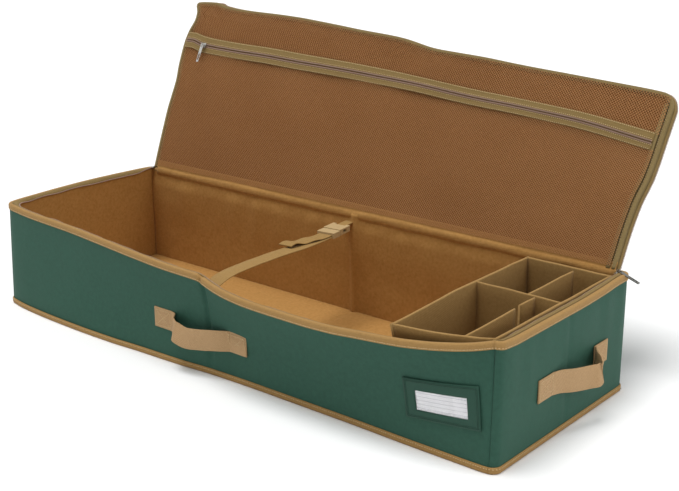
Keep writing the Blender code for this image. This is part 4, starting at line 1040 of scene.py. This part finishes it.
handle("front", ((-0.1205, -0.0820, 0.0722), (0.0400, 0.0790, 0.0696)), [
    (-0.0860, 0.0022, 0.0722, 0), (-0.0740, 0.0050, 0.0718, 0.05), (-0.0670, 0.0140, 0.0685, 0.10),
    (-0.0560, 0.0200, 0.0645, 0.20), (-0.0342, 0.0205, 0.0602, 0.12), (-0.0062, 0.0175, 0.0630, 0.02),
    (0.0164, 0.0135, 0.0668, 0.0), (0.0344, 0.0070, 0.0688, 0.0), (0.0440, 0.0022, 0.0696, 0)])
handle("right", ((-0.0836, -0.0437, 0.0868), (0.0700, 0.1075, 0.0880)), [
    (-0.0470, 0.0022, 0.0868, 0), (-0.0300, 0.0045, 0.0850, 0.03), (-0.0030, 0.0120, 0.0800, 0.08),
    (0.0273, 0.0190, 0.0760, 0.12), (0.0449, 0.0250, 0.0748, 0.15), (0.0525, 0.0245, 0.0760, 0.12),
    (0.0590, 0.0180, 0.0805, 0.05), (0.0650, 0.0090, 0.0850, 0), (0.0740, 0.0022, 0.0880, 0)])
handle("left", ((-0.0800, -0.0403, 0.0860), (0.0723, 0.1120, 0.0860)), [
    (-0.0430, 0.0022, 0.0860, 0), (-0.0200, 0.0120, 0.0820, 0), (0.0160, 0.0230, 0.0760, 0.1),
    (0.0520, 0.0120, 0.0820, 0), (0.0750, 0.0022, 0.0860, 0)])

# %% [markdown]
# ## Label holder
# A pocket of green vinyl is sewn on the front by three sides. A window is cut in it, a clear film closes the window and
# a ruled card shows behind. The space below the window is plain. The vinyl is a grid whose middle cells are left out,
# which keeps the window's corners square without a boolean cut.

# %% Holder, film and card
LABEL_WIDE, LABEL_TALL = 0.120, 0.065
LABEL_ENDS = (((0.3780, 0.0450), (0.3744, 0.1084)), ((0.4980, 0.0580), (0.4922, 0.1226)))
WINDOW_LEFT, WINDOW_RIGHT, WINDOW_LOW, WINDOW_HIGH = 0.155, 0.844, 0.215, 0.705


def on_label(level):
    """The function that places a point by its shares across and up the holder, level metres off the wall."""
    def place(a, b):
        left, right = ([low[i] + (high[i] - low[i]) * b for i in (0, 1)] for low, high in LABEL_ENDS)
        x, z = (left[i] + (right[i] - left[i]) * a for i in (0, 1))
        return slack(x, FRONT_Y, z) + Vector((0, -level, 0))
    return place


def shares(*spans):
    return sorted({round(v, 5) for low, high, count in spans for v in steps(low, high, count)})


across_holder = shares((0, WINDOW_LEFT, 5), (WINDOW_LEFT, WINDOW_RIGHT, 16), (WINDOW_RIGHT, 1, 5))
up_holder = shares((0, WINDOW_LOW, 4), (WINDOW_LOW, WINDOW_HIGH, 8), (WINDOW_HIGH, 1, 5))
form = bmesh.new()
corners = {(a, b): form.verts.new(on_label(0.0040)(a, b)) for a in across_holder for b in up_holder}
flat = form.loops.layers.uv.new("UVMap")
for a, a2 in zip(across_holder, across_holder[1:]):
    for b, b2 in zip(up_holder, up_holder[1:]):
        if WINDOW_LEFT <= a and a2 <= WINDOW_RIGHT and WINDOW_LOW <= b and b2 <= WINDOW_HIGH:
            continue
        spots = ((a, b), (a2, b), (a2, b2), (a, b2))
        face = form.faces.new([corners[spot] for spot in spots])
        for loop, (u, v) in zip(face.loops, spots):
            loop[flat].uv = (u * LABEL_WIDE, v * LABEL_TALL)
bmesh.ops.delete(form, geom=[v for v in form.verts if not v.link_faces], context="VERTS")
holder = piece("label_holder_vinyl", thickened(mesh_of(form, False), 0.0013), GREEN_VINYL, "vinyl", "label_holder")


def label_sheet(name, level, thick, finish, slot_name, node, body="box"):
    mesh = cloth_mesh(on_label(level), steps(0.12, 0.88, 16), steps(0.17, 0.75, 8), thick)
    for loop in mesh.uv_layers[0].data:
        loop.uv = (loop.uv[0] * LABEL_WIDE, loop.uv[1] * LABEL_TALL)
    return piece(name, mesh, finish, slot_name, node, body)


film = label_sheet("label_window_film", 0.0032, 0.0003, CLEAR_VINYL, "window_film", "label_window")
card = label_sheet("ruled_card", 0.0026, 0.0004, CARD, "card", "label_card", "card")
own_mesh(card)
rows = []
for inset in (0.0028, 0.0048):
    a, b = inset / LABEL_WIDE, inset / LABEL_TALL
    rows += boxed_rows((a, b), (1 - a, 1 - b), ((0, 1), (0, 3), (1, 2), (3, 2)), on_label(0.0042),
                       Vector((0, -1, 0)), 12)
holder_seam = piece("label_holder_seam", beads_mesh(rows, 0.0026, 0.0034, 0.0008, 0.0007), GREEN_THREAD, "vinyl")
for made in (holder, film, holder_seam):
    draw_in(made)
print("label holder", LABEL_WIDE * 1000, "x", LABEL_TALL * 1000, "mm")

# %% [markdown]
# ## Strap over the rolls
# A webbing strap crosses the box under the lid. Its front part is sewn to the front wall and runs through the plug of
# the buckle, where its spare end folds back. A shorter part holds the socket at the back wall. A line through the
# strap's middle is worked out first, and a flat section is then carried along it.

# %% Strap
STRAP_LEVEL, SEWN_TO = 0.1626, 0.150
STRAP_FRONT, STRAP_BACK, STRAP_STRAIGHT = 0.036, -0.006, 0.0060
STRAP_END_Y = 0.1088
SLOPE = (STRAP_BACK - STRAP_FRONT) / (2 * INNER_Y)
strap_side = Vector((1, -SLOPE, 0)).normalized()


def strap_x(y):
    """The strap comes straight back from the front wall and then turns a little towards the buckle."""
    aimed = STRAP_FRONT + SLOPE * (y + INNER_Y)
    return aimed + (STRAP_STRAIGHT - aimed) * smooth(0.095, -0.04, y)


def lining_y(z):
    """How far forward the slack front lining is, where the strap is sewn to it."""
    return slack(STRAP_STRAIGHT, FRONT_Y, z).y + 0.0070


def flat_strip(line, wide):
    """The mesh of a strip that lies flat along a line over the box."""
    ups = [strap_side.cross(ahead).normalized() for ahead in directions(line)]
    return band_mesh(line, [strap_side] * len(line), ups, soft_rectangle(wide, 0.0016, 0.45))


front_line = [Vector((strap_x(lining_y(z)), lining_y(z), z)) for z in steps(0.124, SEWN_TO - 0.003, 6)]
for y in steps(lining_y(SEWN_TO) + 0.002, STRAP_END_Y, 80):
    fall = (STRAP_LEVEL - SEWN_TO) * math.exp(-((y - lining_y(SEWN_TO)) / 0.028) ** 1.3)
    wave = 0.0012 * wander(y * 20, 3.3, 1.1) * smooth(0.07, 0.04, y)
    front_line.append(Vector((strap_x(y), y, STRAP_LEVEL - fall - abs(wave))))
strap_over = piece("strap_front_webbing", flat_strip(front_line, 0.0285), STRAP_WEBBING, "webbing", "strap_front")
draw_in(strap_over)
tail_line = []
for y in steps(-0.0020, 0.0930, 50):
    loose = smooth(0.085, 0.0, y)
    tail_line.append(Vector((strap_x(y) - 0.013 * loose, y, 0.1650 + 0.0045 * loose * (1 + math.sin(y * 150)) / 2)))
piece("strap_loose_tail", flat_strip(tail_line, 0.0255), STRAP_WEBBING, "webbing", "strap_tail", "plug")
print("strap runs from", [round(v, 3) for v in front_line[7]], "to", [round(v, 3) for v in front_line[-1]])

# %% [markdown]
# ## Ribbon tray
# The tray is a small open box of board covered with the lining's cloth, 4.5 mm thick, and a wall across it makes two
# bays. Three flaps divide the bays and are sewn in at one end, so they can swing. The tray stands against the slack
# front wall, so its front end leans out with it. Each wall is a thick soft-edged band, then bent by one function.

# %% Tray, cross wall and flaps
TRAY_WALL, FLAP = 0.0045, 0.0036
TRAY_TOP, TRAY_BOTTOM = 0.1850, 0.0056
TRAY_X, TRAY_Y = (0.3580, 0.5038), (-0.1605, 0.1520)


def lean(p):
    """Bends the straight tray towards the slack front wall."""
    share, near, bow = p.z / HEIGHT, smooth(-0.02, -0.155, p.y), BOW(p.x)
    return Vector((p.x - 0.006 * near * smooth(0.42, 0.37, p.x) + 0.0010 * wander(p.y * 14, p.z * 5, p.x * 9),
                   p.y - near * 0.044 * bow * share ** 2 + 0.0010 * wander(p.x * 22, p.z * 5, 3.0),
                   p.z - near * 0.016 * bow * share ** 3 + 0.0008 * wander(p.x * 25, p.y * 25, 6.0) * share))


def panel(start, end, low, high, thick=TRAY_WALL):
    """The mesh of one covered board between two (x, y) points."""
    (x0, y0), (x1, y1) = start, end
    count = max(3, round(math.hypot(x1 - x0, y1 - y0) / 0.01))
    path = [Vector((x0 + (x1 - x0) * t, y0 + (y1 - y0) * t, (low + high) / 2)) for t in steps(0, 1, count)]
    side = Vector((y1 - y0, x0 - x1, 0)).normalized()
    half, tall = thick / 2, (high - low) / 2
    upright = steps(-tall, tall - half, 12)[1:]
    profile = [(-half, -tall), (half, -tall)] + [(half, v) for v in upright]
    profile += [(half * math.cos(a), tall - half + half * math.sin(a)) for a in steps(0, math.pi, 6)[1:-1]]
    profile += [(-half, v) for v in upright[::-1]]
    return band_mesh(path, [side] * len(path), [UP] * len(path), profile)


def covered(name, meshes, body, node):
    """Several panels joined into one piece and bent to the slack box."""
    form = bmesh.new()
    for mesh in meshes:
        form.from_mesh(mesh)
        bpy.data.meshes.remove(mesh)
    for vert in form.verts:
        vert.co = lean(vert.co)
    return draw_in(piece(name, mesh_of(form, False), TRAY_CLOTH, "lining", node, body))


half = TRAY_WALL / 2
low_x, high_x, low_y, high_y = TRAY_X[0] + half, TRAY_X[1] - half, TRAY_Y[0] + half, TRAY_Y[1] - half
walls = [panel(start, end, TRAY_BOTTOM, TRAY_TOP) for start, end in (
    ((low_x, low_y - half), (low_x, high_y + half)), ((high_x, low_y - half), (high_x, high_y + half)),
    ((low_x, low_y), (high_x, low_y)), ((low_x, high_y), (high_x, high_y)))]
walls.append(cloth_mesh(lambda x, y: Vector((x, y, TRAY_BOTTOM + 0.003)), steps(low_x, high_x, 14),
                        steps(low_y, high_y, 30), 0.003))
covered("ribbon_tray_cloth", walls, "tray", "ribbon_tray")
CROSS_Y = 0.0085
cross_wall = panel((low_x, CROSS_Y), (high_x, CROSS_Y), TRAY_BOTTOM + 0.002, TRAY_TOP - 0.001, 0.0040)
covered("tray_cross_wall_cloth", [cross_wall], "tray", "tray_cross_wall")
for kind, start, end, below in (("front", (0.4576, -0.1530), (0.4604, -0.0470), 0.003),
                                ("middle", (0.4600, -0.0350), (0.4605, 0.0035), 0.002),
                                ("rear", (0.4450, 0.0128), (0.4450, 0.1395), 0.002)):
    flap = panel(start, end, 0.0105, TRAY_TOP - below, FLAP)
    covered(f"{kind}_flap_cloth", [flap], f"{kind}_flap", f"divider_{kind}")
print("tray", round(1000 * (TRAY_X[1] - TRAY_X[0])), "x", round(1000 * (TRAY_Y[1] - TRAY_Y[0])), "mm")

# %% [markdown]
# ## Seams
# Straight seams hold the bindings and the pocket. They are rows of stitches 3.6 mm apart, each a short rounded bead
# that stands a little out of the tape. A picture of stitches would cost less, but it would look flat at the rim.

# %% Seams along the bindings and on the lid
STITCH = {"length": 0.0025, "gap": 0.0036, "wide": 0.0009, "tall": 0.0008}


def rows_along(edge, aside, rise, facing=1):
    """Rows of stitches beside an edge, cut into short stretches because the direction they face turns along it."""
    line = [p + s * aside + u * rise for p, s, u in zip(*edge)]
    return [(line[i:i + 3], edge[facing][i]) for i in range(0, len(line) - 1, 2)]


def seam(name, rows, body="box"):
    return piece(name, beads_mesh(rows, **STITCH), THREAD, "binding", body=body)


def binding_rows(edge):
    return rows_along(edge(RIM), 0.0019, -0.0074) + rows_along(edge(FOOT_LEVEL), 0.0021, 0.0070)


seam("binding_seams_ends_and_back", binding_rows(round_edge))
draw_in(seam("binding_seams_front", binding_rows(front_edge)))
band_rows = [(across_lid(FLAT_BAND + off, 0.0085), LID_OUT) for off in (-0.0135, -0.0052, 0.0052, 0.0135)]
pull_flat(seam("lid_seams", rows_along(lid_edge(0.0, 0.0), -0.0052, 0.0036, 2) + band_rows, "lid"))
print("stitches are", 1000 * STITCH["gap"], "mm apart")

# %% [markdown]
# ## Hard pieces that keep their shape
# The sliders, pulls, buckle and the strap's rear part have the right shape already, so they only take a finish. It is
# set on the object's own slots, so the mesh that the frame gave stays as it was.

# %% Finishes for the frame's own pieces
for finish, nodes in {NICKEL_ZINC: ("main_zip_slider", "pocket_zip_slider", "pocket_zip_pull"),
                      PLATED_ZINC: ("main_zip_pull",), ACETAL: ("buckle_socket", "buckle_plug"),
                      STRAP_WEBBING: ("strap_rear",)}.items():
    for node in nodes:
        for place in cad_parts[node].material_slots:
            place.link = "OBJECT"
            place.material = finish
    print(finish.name, "goes on", ", ".join(nodes))

# %% [markdown]
# ## Cut sizes of the cloth
# The panels are sewn down on all sides, so they are held stretched.

# %% Cut sizes
def boards_of(wall):
    """The names of the two stiff boards behind a panel."""
    halves = ("front", "rear") if wall in ("left", "right") else ("left", "right")
    return [f"{wall}_board_{half}_stiff" for half in halves]


WALL_CUT = WALL_TOP - WALL_FOOT
END_CUT = 2 * (-FRONT_Y - CORNER) + math.pi * CORNER
LID_CUT = (2 * LID_HALF, LID_DEPTH - 0.004)
cuts = {
    front_cloth: ((2 * FRONT_END, WALL_CUT), *boards_of("front")),
    back_cloth: ((2 * FRONT_END, WALL_CUT), *boards_of("back")),
    right_cloth: ((END_CUT, WALL_CUT), *boards_of("right")),
    left_cloth: ((END_CUT, WALL_CUT), *boards_of("left")),
    base_cloth: ((1.039, 0.347), *boards_of("base")),
    base_lip: ((1.030, 0.0135), "base_cloth"),
    front_lining: ((2 * INNER_X, WALL_CUT), *boards_of("front")),
    back_lining: ((2 * INNER_X, WALL_CUT), *boards_of("back")),
    right_lining: ((2 * INNER_Y, WALL_CUT), *boards_of("right")),
    left_lining: ((2 * INNER_Y, WALL_CUT), *boards_of("left")),
    base_lining: ((2 * INNER_X, 2 * INNER_Y), *boards_of("base")),
    floor_edge: ((1.026, 0.0155), "base_lining_cloth"),
    lid_cloth: (LID_CUT, "lid_edge_binding"),
    lid_lining: (LID_CUT, "lid_edge_binding"),
    lower_net: ((2 * NET_HALF, FLAT_BAND - BAND_HALF + 0.001), "pocket_border_tape", "pocket_zip_tape_lower"),
    upper_net: ((2 * NET_HALF, LID_DEPTH - FLAT_BAND - BAND_HALF - 0.001), "pocket_border_tape",
                "pocket_zip_tape_upper"),
    hinge_outside: ((0.996, 0.030), "back_cloth", "lid_cloth"),
    hinge_inside: ((0.997, 0.034), "back_lining_cloth", "lid_lining_cloth"),
}
for made, (cut, *held_by) in cuts.items():
    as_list(held_by)
    print(made.name, "is cut", round(1000 * cut[0]), "x", round(1000 * cut[1]), "mm")
